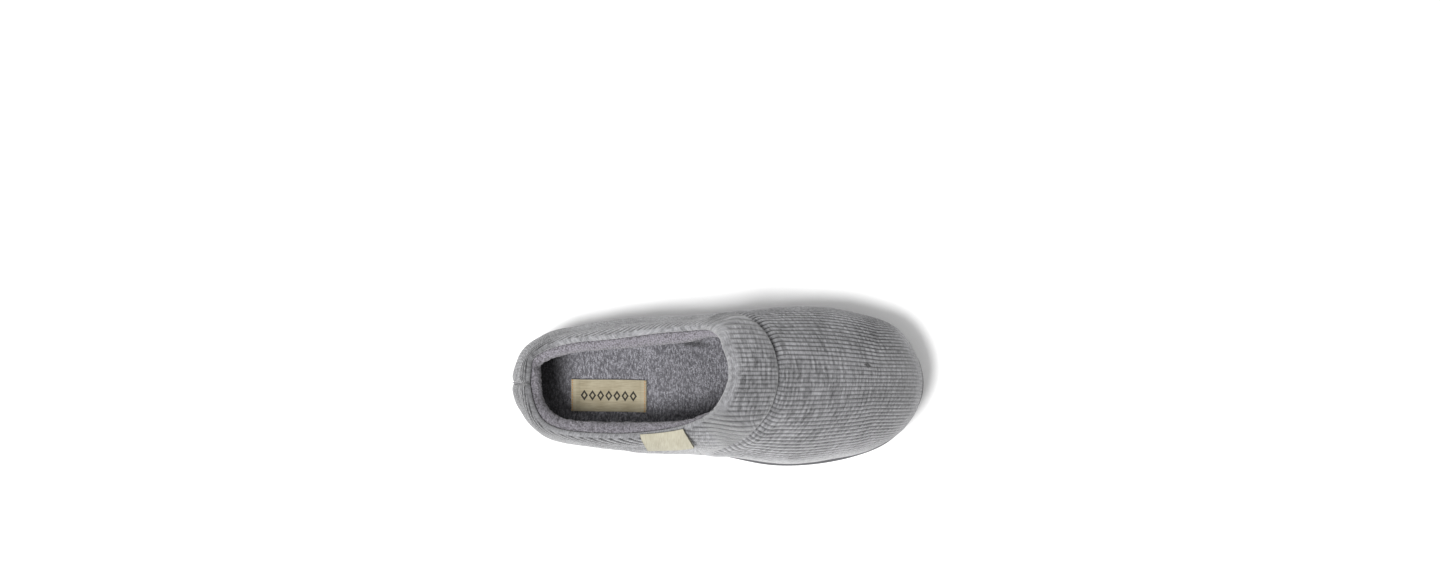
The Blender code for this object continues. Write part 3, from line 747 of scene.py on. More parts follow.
def vamp_base():
    """The vamp's outer skin on its ribs, with each point's rib and course, and the rows of the tuck."""
    form = Sections(100.0)
    seam_x, seam_girth, slant = seam_line(form)
    edge = np.minimum(seam_girth - seam_girth[0], seam_girth[-1] - seam_girth)
    swing = BEND * smooth(0.0, 14.0, edge)
    final = np.maximum.accumulate(seam_girth + slant * swing / 2.0)
    count = int((final[-1] - final[0]) / VAMP_PITCH * RIB_POINTS)
    girth = np.linspace(final[0], final[-1], count + 1)
    start_x = np.interp(girth, final, seam_x)
    slope = np.interp(girth, final, slant)
    reach = np.interp(girth, final, swing)
    past = np.arange(1, 9) * 0.6
    ends = []
    for sign, first in ((-1.0, start_x[0]), (1.0, start_x[-1])):
        turn = FORM.turn(first - past)
        ends.append((first - past, sign * form.most(turn, np.full(len(past), sign))))
    start_x = np.concatenate([ends[0][0][::-1], start_x, ends[1][0]])
    girth = np.concatenate([ends[0][1][::-1], girth, ends[1][1]])
    zero = np.zeros(len(past))
    slope = np.concatenate([zero, slope, zero])
    reach = np.concatenate([zero, reach, zero]) + 1e-3
    stop = np.maximum(form.end(girth), FORM.turn(start_x))
    parts = np.linspace(0.0, 1.0, 260)[:, None]
    begin = FORM.turn(start_x - LAP)
    turn = begin + (stop - begin) * parts
    x = FORM.heel_x + FORM.length * (1.0 - np.cos(turn)) / 2.0
    ahead = np.clip(x - start_x, 0.0, reach)
    own = girth - slope * (reach - ahead) ** 2 / (2.0 * reach)
    path = form.at(turn, own)
    step = np.linalg.norm(np.diff(path, axis=0), axis=-1)
    length = np.concatenate([np.zeros((1, len(girth))), np.cumsum(step, axis=0)])
    grid = np.zeros((VAMP_ROWS, len(girth), 3))
    course = np.zeros((VAMP_ROWS, len(girth)))
    for i in range(len(girth)):
        wanted = np.linspace(0.0, length[-1, i], VAMP_ROWS)
        for axis in range(3):
            grid[:, i, axis] = np.interp(wanted, length[:, i], path[:, i, axis])
        course[:, i] = wanted - LAP
    foot = np.where(girth < 0.0, TAU - stop, stop)
    under = meridian(foot[None, :], 1.0 + np.arange(1, TUCK_ROWS + 1)[:, None] / TUCK_ROWS)
    points = np.concatenate([grid, under])
    # Below the widest line the ribs run on level, along the edge.
    drop = np.cumsum(np.linalg.norm(np.diff(points[-TUCK_ROWS - 1:], axis=0), axis=-1), axis=0)
    rib = np.concatenate([np.broadcast_to(girth, course.shape), girth + np.sign(girth) * drop]) / VAMP_PITCH
    course = np.concatenate([course, np.broadcast_to(course[-1:], drop.shape)])
    return points, rib, course


def wash(points, table):
    """Soft troughs and ridges, given one by one: each runs between two plan points at its width and depth."""
    height = np.zeros(points.shape[:-1])
    for x0, y0, x1, y1, width, depth in table:
        start = np.array((x0, y0))
        along = np.array((x1, y1)) - start
        reach = np.linalg.norm(along)
        along = along / reach
        offset = points[..., :2] - start
        part = np.clip(offset @ along, 0.0, reach)
        away = np.linalg.norm(offset - part[..., None] * along, axis=-1)
        fade = np.sin(math.pi * np.clip(part / reach, 0.08, 0.92))
        height += depth * fade * np.exp(-((away / width) ** 2))
    return height


# Softness of the vamp, listed: the gathers by the seam, and slow swells over the toes
VAMP_FOLDS = (
    # x0, y0, x1, y1, width, depth
    (171.0, 20.0, 190.0, 23.0, 4.0, 0.5),
    (172.0, 4.0, 196.0, 5.0, 5.0, -0.4),
    (169.0, -9.0, 188.0, -12.0, 4.0, 0.5),
    (160.0, -24.0, 182.0, -31.0, 4.5, -0.5),
    (160.0, 33.0, 184.0, 37.0, 4.5, -0.4),
    (200.0, -20.0, 236.0, -14.0, 9.0, 0.6),
    (205.0, 14.0, 240.0, 12.0, 9.0, 0.5),
    (214.0, -2.0, 250.0, 0.0, 6.0, -0.4),
    (148.0, -39.0, 190.0, -47.0, 6.0, 0.7),
    (150.0, 43.0, 188.0, 46.0, 6.0, 0.6),
)


def make_vamp(settings, materials):
    points, rib, course = vamp_base()
    normal = grid_normals(points, False, False)
    if normal[10, :, 2].mean() < 0.0:
        normal = -normal
    below = smooth(0.0, LAP, -course)
    fold = wash(points, VAMP_FOLDS) * smooth(0.0, 5.0, course)
    swell = 0.25 * rough(points, 16.0, 3)
    puff = 0.9 * np.exp(-(((course - 7.0) / 6.0) ** 2)) * (course > 0.0)
    outer = points + normal * (fold + swell * smooth(0.0, 8.0, course) + puff - below)[..., None]
    low = 1.0 - smooth(34.0, 52.0, points[..., 2])
    side = smooth(0.0, 14.0, -(points[..., 1] - 2.0) - 26.0)
    hushed = low * side * (1.0 - smooth(222.0, 240.0, points[..., 0]))
    fade = (1.0 - 0.7 * hushed) * (1.0 - 0.4 * low)
    rise = fade * (0.6 + 0.4 * smooth(0.0, 4.0, course))
    # Painted light in tone: lighter where the knit slopes steeply down the sides and on the toe's steep edge,
    # for the sheen and the key light there; lighter over the medial toe and along the puff by the arc seam as
    # painted highlight; a little darker towards the toe.
    tone = 1.0 + 0.3 * (1.0 - smooth(0.35, 0.8, normal[..., 2])) + 0.13 * np.exp(-((course / 13.0) ** 2))
    toe_edge_highlight = smooth(236.0, 250.0, points[..., 0]) * (1.0 - smooth(0.5, 0.78, normal[..., 2]))
    tone = tone - 0.09 * smooth(205.0, 245.0, points[..., 0]) + 0.14 * toe_edge_highlight
    tone = tone + (0.1 + 0.12 * smooth(205.0, 235.0, points[..., 0])) * smooth(8.0, 26.0, points[..., 1])
    # rise also sets the painted valley shade: stronger over the toe and the medial side, faded on the toe's
    # edge under its painted highlight.
    rise = rise * (1.0 + 0.3 * smooth(205.0, 235.0, points[..., 0])) * (1.0 - 0.8 * toe_edge_highlight)
    rise = rise * (1.0 + 0.35 * smooth(8.0, 26.0, points[..., 1]))
    rise[-6:] *= np.linspace(0.8, 0.0, 6)[:, None]
    picks = sparse_rows(len(points), 9)
    inner = points[picks] - normal[picks] * (1.7 + below[picks])[..., None]
    grid = np.concatenate([outer, inner])
    rows, columns = grid.shape[:2]
    flat = np.zeros((len(picks), columns))
    faces = grid_faces(rows, columns, wrap_rows=True)
    faces.append([i * columns for i in range(rows)])
    faces.append([i * columns + columns - 1 for i in range(rows - 1, -1, -1)])
    values = {
        "rib": np.concatenate([rib, rib[picks]]),
        "course": np.concatenate([course, course[picks]]),
        "rise": np.concatenate([rise, flat]),
        "out": np.concatenate([normal, normal[picks]]),
        "tone": np.concatenate([tone, tone[picks]]),
        "heather": 1.0 - 0.8 * np.concatenate([low, low[picks]]),
    }
    made = piece("vamp_knit", grid, faces, values)
    run_tree(made, rib_tree(), {"Rib Height": settings.rib_height, "Material": materials["vamp"]})
    dress(made, materials["vamp"], ("upper",))


# The cuff: diagonal ribs on the sides, straight ones over the instep

CUFF_PITCH = 2.45
CUFF_ROWS = 74
RIM_STEPS = 10


def cuff_outer(turn, way, seam):
    """Stand-off of the cuff's outer face from the form, by turn and way."""
    cuff = topline(turn)[3]
    foot = np.maximum(set_back(cuff) - GAP + 1.0 * smooth(3.0, 4.0, cuff), 1.5)
    thick = cuff + (np.minimum(foot, cuff) - cuff) * smooth(0.2, 0.9, way)
    part = np.clip(way / np.maximum(seam, 1e-6), 0.0, 1.0)
    puff = 1.0 - smooth(3.0, 5.0, cuff) * 0.30 * (2.0 * np.abs(part - 0.5)) ** 3
    return thick * puff


def skin_normal(turn, way):
    normal = form_normal(turn, way)
    flat = smooth(1.55, 2.0, way)[..., None]
    plan = np.concatenate([FORM.normal(turn), np.zeros(np.shape(turn) + (1,))], axis=-1)
    return unit(normal * (1.0 - flat) + plan * flat)


CUFF_FOLDS = (
    # x0, y0, x1, y1, width, depth
    (8.0, 24.0, 22.0, 33.0, 2.6, -0.9),
    (6.0, 16.0, 14.0, 24.0, 2.2, -0.6),
    (8.0, -22.0, 22.0, -33.0, 2.2, -0.6),
    (5.0, -13.0, 12.0, -22.0, 2.2, -0.5),
    (30.0, 36.0, 52.0, 41.0, 5.0, -0.6),
    (34.0, -37.0, 58.0, -42.0, 5.0, -0.6),
    (66.0, 38.0, 92.0, 44.0, 6.0, 0.5),
    (70.0, -40.0, 92.0, -46.0, 6.0, 0.5),
    (104.0, 40.0, 132.0, 48.0, 5.0, -0.6),
    (100.0, -36.0, 124.0, -46.0, 5.0, -0.6),
    (128.0, 34.0, 156.0, 40.0, 5.0, 0.5),
    (124.0, -28.0, 146.0, -36.0, 5.0, 0.5),
    (146.0, 6.0, 164.0, 4.0, 4.0, -0.3),
    (146.0, 20.0, 162.0, 22.0, 5.0, 0.3),
    (144.0, -6.0, 160.0, -12.0, 5.0, 0.3),
)


def cuff_ribs(turn, base, height, front, heel):
    """Each point's rib and course: along the edge at the heel, slanted on the sides, and straight ahead over
    the instep."""
    medial = turn < math.pi
    hand = np.where(medial, -1.0, 1.0)
    edge = base[0]
    lean = np.where(medial, 28.0 + 24.0 * smooth(66.0, 104.0, edge[:, 0]), 29.0)
    slant = np.radians(lean + (6.0 - lean) * heel + (90.0 - lean) * front)
    pitch = CUFF_PITCH + np.where(medial, -0.1, 0.5) * (1.0 - front) * (1.0 - heel)
    step = np.linalg.norm(np.roll(edge, -1, axis=0) - edge, axis=1)
    along = front * (edge[:, 1] - np.roll(edge[:, 1], -1)) + (1.0 - front) * np.sin(slant) * step
    phase = np.concatenate([[0.0], np.cumsum(along / pitch)[:-1]])
    rolled = 0.3 * np.minimum(height, 12.0) * (1.0 - smooth(10.0, 70.0, edge[:, 0]))
    rib = (1.0 - front) * hand * (height * np.cos(slant) + rolled) - front * (base[..., 1] - edge[:, 1])
    ahead = front * (base[..., 0] - edge[:, 0])
    course = ahead + (1.0 - front) * (height * np.sin(slant) - np.cumsum(step) * hand * np.cos(slant))
    return phase + rib / pitch, course


def cuff_slim(base, parts, front):
    """How much thinner the cuff is than its solid, so that its edge keeps the photo's outline from above."""
    middle = np.array((131.0, 0.0))
    far = np.linalg.norm(base[..., :2] - middle, axis=-1)
    slim = 0.3 + np.clip(base[..., 2] - 28.0, 0.0, 30.0) / EYE_HEIGHT * far * (1.0 - front)
    kept = smooth(-14.0, -26.0, base[..., 1]) * (1.0 - smooth(50.0, 80.0, base[..., 0]))
    return slim * (1.0 - 0.8 * kept) * smooth(0.1, 0.35, parts)[:, None]


def cuff_finish(turn, base, ways, height, parts, front, heel, join):
    """How far the ribs rise, which also sets their painted valley shade, the knit's painted light and shade,
    and how much its yarn changes shade, at each point.
    """
    medial = turn < math.pi
    x, y = base[..., 0], base[..., 1]
    # calm marks the lateral front quarter, where the painted valley shade is weaker and the painted tone a
    # little darker.
    calm = smooth(96.0, 114.0, x) * smooth(-18.0, -32.0, y)
    outer = ~medial * smooth(24.0, 44.0, x) * (1.0 - smooth(88.0, 104.0, x))
    hind = 1.0 - 0.6 * smooth(98.0, 114.0, x)
    rise = (1.3 - 0.35 * front + 0.9 * heel) * (1.0 - front * (1.0 - smooth(2.2, 6.4, height)))
    rise = rise * (1.0 - 0.7 * smooth(1.2, 2.0, ways)) * smooth(0.0, 0.03, parts)[:, None]
    rise = rise * (1.0 - 0.5 * calm) * (1.0 + 0.6 * outer) * (1.0 - join)
    # Painted light and shade in tone: the medial legs lighter, the heel and the instep darker, standing in
    # for how the sheen at a slant and the key light fall; also darker next to the top edge, on the lateral
    # front quarter and along the back seam.
    tone = 1.18 + 0.28 * medial * hind * smooth(3.0, 9.0, height) - 0.12 * np.exp(-height / 3.0)
    tone = tone - 0.1 * calm + 0.11 * medial * hind * (1.0 - heel) - 0.48 * heel
    tone = tone - front * (0.12 + 0.25 * smooth(3.0, 8.5, height)) - 0.5 * join
    heather = 0.1 + 0.4 * medial * (1.0 - front) + 0.9 * front * smooth(3.0, 8.0, height)
    return rise, tone, heather


def make_cuff(settings, materials):
    """The padded cuff, a closed shell from the rolled top edge down to the arc seam or the sole."""
    turn = spaced_turns(lambda x: 1.15 - 0.67 * smooth(112.0, 132.0, x), share=0.0)
    seam = seam_way(turn)
    parts = np.linspace(0.0, 1.0, CUFF_ROWS)
    ways, length = length_ways(turn, np.zeros(len(turn)), seam, parts)
    round_it = np.broadcast_to(turn, ways.shape)
    base = meridian(round_it, ways)
    normal = skin_normal(round_it, ways)
    skin = base - normal * set_back(topline(turn)[3])[None, :, None]
    height = parts[:, None] * length[None, :]
    front = smooth(120.0, 136.0, base[0, :, 0])
    heel = 1.0 - smooth(8.0, 40.0, base[0, :, 0])
    join = np.exp(-((np.minimum(turn, TAU - turn) * 36.0 / 1.1) ** 2))
    rib, course = cuff_ribs(turn, base, height, front, heel)
    rise, tone, heather = cuff_finish(turn, base, ways, height, parts, front, heel, join)

    thick = GAP + cuff_outer(round_it, ways, seam[None, :])
    slim = np.minimum(cuff_slim(base, parts, front), thick - 0.8)
    fold = wash(base, CUFF_FOLDS) + 0.35 * rough(base, 13.0, 5)
    ends = smooth(0.0, 0.12, parts)[:, None] * (1.0 - smooth(0.9, 1.0, parts))[:, None]
    over = skin + normal * (thick - slim + fold * ends - 0.45 * join)[..., None]
    under = skin + normal * GAP

    angles = [180.0 * (i + 1) / (RIM_STEPS + 1) for i in range(RIM_STEPS)]
    top = np.stack(half_round(over[0], under[0], unit(over[0] - over[2]), 0.95, angles))
    rounded = np.where(seam < 1.6, 0.95, 0.0)[:, None]
    end = np.stack(half_round(over[-1], under[-1], unit(over[-1] - over[-3]) * rounded, 1.0, angles))
    picks = sparse_rows(CUFF_ROWS, 8)
    grid = np.concatenate([top[::-1], over, end, under[picks]])
    rows, columns = grid.shape[:2]

    def all_round(values, top_values, end_values, flat):
        return np.concatenate([top_values, values, end_values, flat])

    hand = np.where(turn < math.pi, -1.0, 1.0)
    tops = np.arange(RIM_STEPS, 0, -1)[:, None] / RIM_STEPS
    fade = np.cos(np.radians(angles))[:, None].clip(0.0, 1.0)
    ones = np.ones((RIM_STEPS, columns))
    values = {
        "rib": all_round(rib, rib[0] - hand * tops * (1.0 - front) * 0.8, ones * rib[-1], rib[picks]),
        "course": all_round(course, course[0] - ones * tops * 2.0, course[-1] + ones * tops[::-1] * 3.0,
                            course[picks]),
        "rise": all_round(rise, rise[0] * fade[::-1], rise[-1] * fade, rise[picks] * 0.0),
        "out": all_round(normal, np.broadcast_to(normal[0], top.shape),
                         np.broadcast_to(normal[-1], end.shape), normal[picks]),
        "tone": all_round(tone, ones * tone[0], ones * tone[-1], rib[picks] * 0.0 + 1.0),
        "heather": all_round(heather, ones * heather[0], ones * heather[-1], heather[picks]),
    }
    made = piece("cuff_knit", grid, grid_faces(rows, columns, True, True), values)
    run_tree(made, rib_tree(), {"Rib Height": settings.rib_height, "Material": materials["cuff"]})
    dress(made, materials["cuff"], ("collar",))


def make_lining(materials):
    """The terry lining: it rolls over the top edge and runs down inside to the footbed."""
    turn = spaced_turns(lambda x: np.full(len(x), 0.8), share=0.0)
    roll, cuff = topline(turn)[2:]
    back = set_back(cuff)
    low = low_wall(cuff)
    ways, length = length_ways(turn, np.zeros(len(turn)), np.full(len(turn), 1.95), np.linspace(0.0, 1.0, 64))
    round_it = np.broadcast_to(turn, ways.shape)
    normal = skin_normal(round_it, ways)
    base = meridian(round_it, ways)
    skin = base - normal * back[None, :, None]
    wall = low + (roll - low) * (1.0 - smooth(0.0, 1.0, ways))
    sunk = -0.15 + 2.2 * smooth(0.0, 0.5, ways)
    outer = skin - normal * np.minimum(sunk, wall * 0.6)[..., None]
    inner = skin - normal * wall[..., None]
    tangent = unit(skin[0] - meridian(turn, ways[0] + 0.05))
    tangent = unit(tangent - normal[0] * np.sum(tangent * normal[0], axis=1, keepdims=True))
    angles = [180.0 * (i + 1) / 15 for i in range(14)]
    top = np.stack(half_round(outer[0], inner[0], tangent, 0.9, angles))
    picks = sparse_rows(len(ways), 9)
    # Over the instep the cuff's own rim is the edge, so the lining stays under it.
    front = smooth(120.0, 134.0, base[0, :, 0])[None, :, None]
    inner_near = np.exp(-((np.arange(len(ways)) / 7.0) ** 2))[:, None, None]
    grid = np.concatenate([
        top - tangent * 3.2 * front,
        inner - tangent * 3.2 * front * inner_near,
        outer[picks] - tangent * 3.2 * front * inner_near[picks],
    ])
    out = grid_normals(grid, True, True)
    if np.sum(out[5] * tangent) < 0.0:
        out = -out
    pile = np.ones(grid.shape[:2])
    pile[-len(picks):] = 0.0
    pile[-len(picks) - 2:-len(picks)] *= 0.5
    # Painted shade in tone: darker on the lateral side and at the heel, where the walls stand in shade; the
    # medial side faces the light and stays lighter.
    tone = np.ones(grid.shape[:2]) * (0.97 - 0.2 * smooth(0.0, -12.0, base[0, :, 1]))[None, :]
    tone = tone - 0.22 * (1.0 - smooth(12.0, 26.0, base[0, :, 0]))[None, :]
    inner_side = smooth(0.0, 12.0, base[0, :, 1])
    nap = np.ones(grid.shape[:2]) * (1.0 - 0.72 * inner_side * smooth(20.0, 50.0, base[0, :, 0]))
    tone = tone - 0.06 * (1.0 - inner_side)[None, :]
    pile = pile * (0.3 + 0.7 * nap)
    grid = grid + out * (pile * (0.5 * rough(grid, 2.3, 7) + 0.3 * rough(grid, 9.0, 8)))[..., None]
    rows, columns = grid.shape[:2]
    made = piece("lining_terry", grid, grid_faces(rows, columns, True, True), {"tone": tone, "nap": nap})
    dress(made, materials["lining"], ("upper",))


FOOTBED_FOLDS = (
    # x0, y0, x1, y1, width, depth
    (104.0, 28.5, 128.0, 26.5, 1.5, -2.4),
    (106.0, 25.5, 126.0, 23.5, 2.6, 1.1),
    (108.0, 22.5, 120.0, 21.5, 1.2, -0.9),
    (92.0, -10.0, 120.0, -8.0, 9.0, -0.25),
)


def insole_level():
    """The flat of the heel seat, which the label lies on."""
    return float(rim_z(60.0)) - RECESS + FOOTBED_THICK


def make_footbed(materials):
    """The padded footbed: terry over foam, rounded and a little raised along its edge."""
    stations = np.linspace(0.03, math.pi - 0.03, 250)
    sides = []
    for turn in (TAU - stations, stations):
        cuff = topline(turn)[3]
        sides.append(FORM.inset(turn, TUCK + set_back(cuff) + low_wall(cuff)))
    lateral, medial = sides
    across = np.linspace(0.0, 1.0, 92)[None, :, None]
    plan = lateral[:, None, :] + (medial - lateral)[:, None, :] * across
    loop = np.concatenate([lateral, medial[::-1]])
    away = np.full(plan.shape[:2], 1e9)
    for i in range(len(loop)):
        a, b = loop[i], loop[(i + 1) % len(loop)]
        edge = b - a
        part = np.clip(((plan - a) @ edge) / max(float(edge @ edge), 1e-9), 0.0, 1.0)
        away = np.minimum(away, np.linalg.norm(plan - a - part[..., None] * edge, axis=-1))
    x = plan[..., 0]
    floor = rim_z(x) - RECESS
    rounded = 1.6 * (1.0 - np.clip(away / 1.6, 0.0, 1.0)) ** 2
    rise = FOOTBED_THICK + 0.6 * np.exp(-((away / 4.0) ** 2)) - rounded
    forward = smooth(92.0, 130.0, x)
    flat = insole_level() + rise - FOOTBED_THICK
    z = flat * (1.0 - forward) + (floor + rise) * forward
    top = np.concatenate([plan, z[..., None]], axis=-1)
    held = smooth(0.0, 3.0, away)
    under_label = smooth(32.0, 37.0, x) * (1.0 - smooth(85.0, 90.0, x)) * smooth(-21.0, -17.0, plan[..., 1])
    under_label = under_label * (1.0 - smooth(5.0, 9.0, plan[..., 1]))
    dips = wash(top, FOOTBED_FOLDS)
    pile = 0.2 * rough(top, 1.5, 11) + 0.3 * rough(top, 12.0, 12)
    top[..., 2] += pile * (1.0 - under_label) * (0.4 + 0.6 * held) - 0.1 * under_label + dips
    ends = np.stack([lateral, medial])
    low = rim_z(ends[..., 0]) - RECESS
    walls = []
    for share in (0.66, 0.33, 0.0):
        walls.append(np.concatenate([ends, (low + 0.4 + 6.0 * share)[..., None]], axis=-1))
    right = np.stack([w[1] for w in walls], axis=1)
    left = np.stack([w[0] for w in walls[::-1]], axis=1)
    share = np.linspace(1.0, 0.0, 8)[1:-1][None, :, None]
    bottom = right[:, -1:, :] * share + left[:, :1, :] * (1.0 - share)
    grid = np.concatenate([top, right, bottom, left], axis=1)
    rows, columns = grid.shape[:2]
    faces = grid_faces(rows, columns, wrap_columns=True)
    faces.append(list(range(columns)))
    faces.append([(rows - 1) * columns + k for k in range(columns - 1, -1, -1)])
    # Painted shadow in tone: dark at the heel and along the lateral edge where the walls shade the footbed,
    # darker in the fold's trough and along the edge against the lining, and a little darker towards the
    # front.
    side = 1.0 - smooth(1.0, 9.0, grid[..., 1] - lateral[:, None, 1])
    ahead = grid[..., 0]
    tone = 1.0 - 0.74 * (1.0 - smooth(18.0, 52.0, ahead)) - 0.3 * side - 0.08 * smooth(88.0, 100.0, ahead)
    tone[:, :away.shape[1]] += 0.3 * np.minimum(dips, 0.0) - 0.45 * np.exp(-((away / 1.4) ** 2))
    made = piece("footbed_terry", grid, faces, {"tone": np.clip(tone, 0.2, 1.2), "nap": tone * 0.0 + 1.0})
    dress(made, materials["footbed"], ("insole",))


def make_sole(materials):
    """The moulded sole, with rounded edges, a groove round its side and cross grooves underneath."""
    turn = np.arange(264) * TAU / 264
    cuff = topline(turn)[3]
    seat = TUCK + set_back(cuff) + low_wall(cuff)
    foot_x = SOLE.at(turn)[:, 0]
    rows = []
    for outline, inset, part, extra in SOLE_RINGS:
        if outline == "sole":
            plan = SOLE.inset(turn, np.full(len(turn), inset))
        else:
            plan = FORM.inset(turn, seat + inset)
        low = ground_z(plan[:, 0] if part == 0.0 else foot_x)
        z = low + (rim_z(foot_x) - low) * part + extra
        rows.append(np.column_stack([plan, z]))
    grid = np.stack(rows)
    count, columns = grid.shape[:2]
    faces = grid_faces(count, columns, wrap_columns=True)
    faces.append(list(range(columns)))
    faces.append([(count - 1) * columns + k for k in range(columns - 1, -1, -1)])
    made = piece("sole_rubber", grid, faces)
    corners, blocks = [], []
    for x, width in TREAD_GROOVES:
        start = len(corners)
        medial, lateral = SOLE.half_widths(SOLE.turn(x))
        for side in (-1.0, 1.0):
            for y in (AXIS_Y - float(lateral) + TREAD_RAIL, AXIS_Y + float(medial) - TREAD_RAIL):
                for z in (-6.0, float(ground_z(x)) + TREAD_DEPTH):
                    corners.append((x + side * width / 2.0, y, z))
        for face in ((0, 1, 3, 2), (4, 6, 7, 5), (0, 4, 5, 1), (2, 3, 7, 6), (0, 2, 6, 4), (1, 5, 7, 3)):
            blocks.append([start + k for k in face])
    cutter = piece("sole_cutter", corners, blocks)
    cut = made.modifiers.new("grooves", "BOOLEAN")
    cut.operation = "DIFFERENCE"
    cut.solver = "EXACT"
    cut.object = cutter
    keep_result(made)
    bpy.data.objects.remove(cutter)
    made.data.set_sharp_from_angle(angle=math.radians(35.0))
    dress(made, materials["sole"], ("outsole",))


def slab(points, thick):
    """A closed ribbon of that thickness on a grid of points, with its two faces and its edges."""
    normal = grid_normals(points, False, False)
    rows, columns = points.shape[:2]
    grid = np.concatenate([points + normal * thick / 2.0, points - normal * thick / 2.0])
    faces = grid_faces(rows, columns)
    faces += [face[::-1] for face in grid_faces(rows, columns, start=rows * columns)]
    rim = [(0, k) for k in range(columns)] + [(i, columns - 1) for i in range(1, rows)]
    rim += [(rows - 1, k) for k in range(columns - 2, -1, -1)] + [(i, 0) for i in range(rows - 2, 0, -1)]
    rim = [i * columns + k for i, k in rim]
    for a, b in zip(rim, rim[1:] + rim[:1]):
        faces.append([b, a, a + rows * columns, b + rows * columns])
    return grid, faces


def make_label(materials):
    """The woven label on the heel seat, lying flat with its two ends folded under."""
    x = np.linspace(LABEL_X[0], LABEL_X[1], 66)
    y = np.linspace(LABEL_Y[0], LABEL_Y[1], 30)
    grid = np.stack(np.meshgrid(x, y, indexing="ij"), axis=-1)
    ends = np.minimum(grid[..., 0] - LABEL_X[0], LABEL_X[1] - grid[..., 0])
    lift = 0.45 * (1.0 - smooth(4.4, 5.6, ends)) - 0.25 * (1.0 - np.clip(ends / 0.8, 0.0, 1.0)) ** 2
    z = insole_level() + 0.75 + lift
    points = np.concatenate([grid, z[..., None]], axis=-1)
    points[..., 2] += 0.12 * rough(points, 10.0, 21)
    points[..., 1] += 0.2 * np.sin(points[..., 0] / 9.0) * np.where(points[..., 1] > -6.0, 1.0, 0.5)
    points[..., 1] -= LABEL_TILT * (points[..., 0] - sum(LABEL_X) / 2.0)
    grid, faces = slab(points, 0.5)
    made = piece("footbed_label", grid, faces)
    dress(made, materials["label"], ("insole_label",))


def make_tag(materials):
    """The folded ribbon tag, sewn into the top seam, its front edge lifting off the cuff."""
    feet = np.linspace(*TAG_FEET, 40)
    forward = (feet - feet[0]) / (feet[-1] - feet[0])
    cuff = topline(TAU - FORM.turn(feet))[3]
    stand = GAP + cuff - set_back(cuff) + 0.9
    drop = TAG_DROP[0] + (TAG_DROP[1] - TAG_DROP[0]) * forward
    half = cuff / 2.0
    middle = GAP - set_back(cuff) + half
    start = np.radians(126.0 + 24.0 * forward)
    over_roll = [start + (math.pi - start) * part for part in (0.0, 0.2, 0.4, 0.6, 0.8)]
    down, proud, up = [], [], []
    for angle in over_roll:
        down.append(0.0)
        proud.append(middle - np.cos(angle) * (half + 1.2))
        up.append(np.sin(angle) * (half + 1.0))
    for part in np.linspace(0.06, 1.0, 16):
        down.append(part)
        proud.append(stand + 1.0 + TAG_LIFT * forward**2 * part)
        up.append(0.0)
    for angle in np.radians((150.0, 120.0, 90.0, 60.0, 30.0)):
        down.append(1.0 + 0.04 * math.sin(angle))
        proud.append(stand + 0.5 - 0.5 * math.cos(angle) + TAG_LIFT * forward**2)
        up.append(0.0)
    for part in np.linspace(1.0, 0.06, 16):
        down.append(part)
        proud.append(stand + TAG_LIFT * forward**2 * part * 0.7)
        up.append(0.0)
    for angle in over_roll[::-1]:
        down.append(0.0)
        proud.append(middle - np.cos(angle) * (half + 0.6))
        up.append(np.sin(angle) * (half + 0.6))
    points = np.zeros((len(down), len(feet), 3))
    turn = TAU - FORM.turn(feet)
    dense = np.linspace(0.0, 1.2, 200)
    path = meridian(turn[:, None], dense[None, :])
    step = np.linalg.norm(np.diff(path, axis=1), axis=-1)
    length = np.concatenate([np.zeros((len(feet), 1)), np.cumsum(step, axis=1)], axis=1)
    normal = form_normal(turn, turn * 0.0)
    rising = unit(path[:, 0] - path[:, 8])
    rising = unit(rising - normal * np.sum(rising * normal, axis=1, keepdims=True))
    for i, part in enumerate(down):
        way = np.array([np.interp(part * drop[k], length[k], dense) for k in range(len(feet))])
        shift = np.broadcast_to(up[i], len(feet))[:, None]
        points[i] = meridian(turn, way) + form_normal(turn, way) * proud[i][:, None] + rising * shift
    grid, faces = slab(points, 0.4)
    made = piece("side_tag_ribbon", grid, faces)
    dress(made, materials["tag"], ("side_tag",))


# Materials

COURSE_HEIGHT = 1.2  # one stitch up a rib


def linear(hex_colour):
    """An sRGB hex colour as linear RGBA."""
    parts = [int(hex_colour[i:i + 2], 16) / 255.0 for i in (1, 3, 5)]
    return tuple(p / 12.92 if p <= 0.04045 else ((p + 0.055) / 1.055) ** 2.4 for p in parts) + (1.0,)


def cloth(name, roughness, sheen=0.0, specular=0.25):
    """A new material, its shader, and the call that adds a node to it."""
    made = bpy.data.materials.new(name)
    made.use_nodes = True
    shader = made.node_tree.nodes["Principled BSDF"]
    shader.inputs["Roughness"].default_value = roughness
    shader.inputs["Specular IOR Level"].default_value = specular
    shader.inputs["Sheen Weight"].default_value = sheen
    shader.inputs["Sheen Roughness"].default_value = 0.6
    return made, shader, partial(add, made.node_tree)


def surface(made, shader, colour, height, depth):
    """Links the colour, and a height as a bump of that depth in mm, to the shader."""
    bump = add(made.node_tree, "Bump", {"Strength": 1.0, "Distance": depth * MM, "Height": height})
    made.node_tree.links.new(colour, shader.inputs["Base Color"])
    made.node_tree.links.new(bump, shader.inputs["Normal"])
    return made


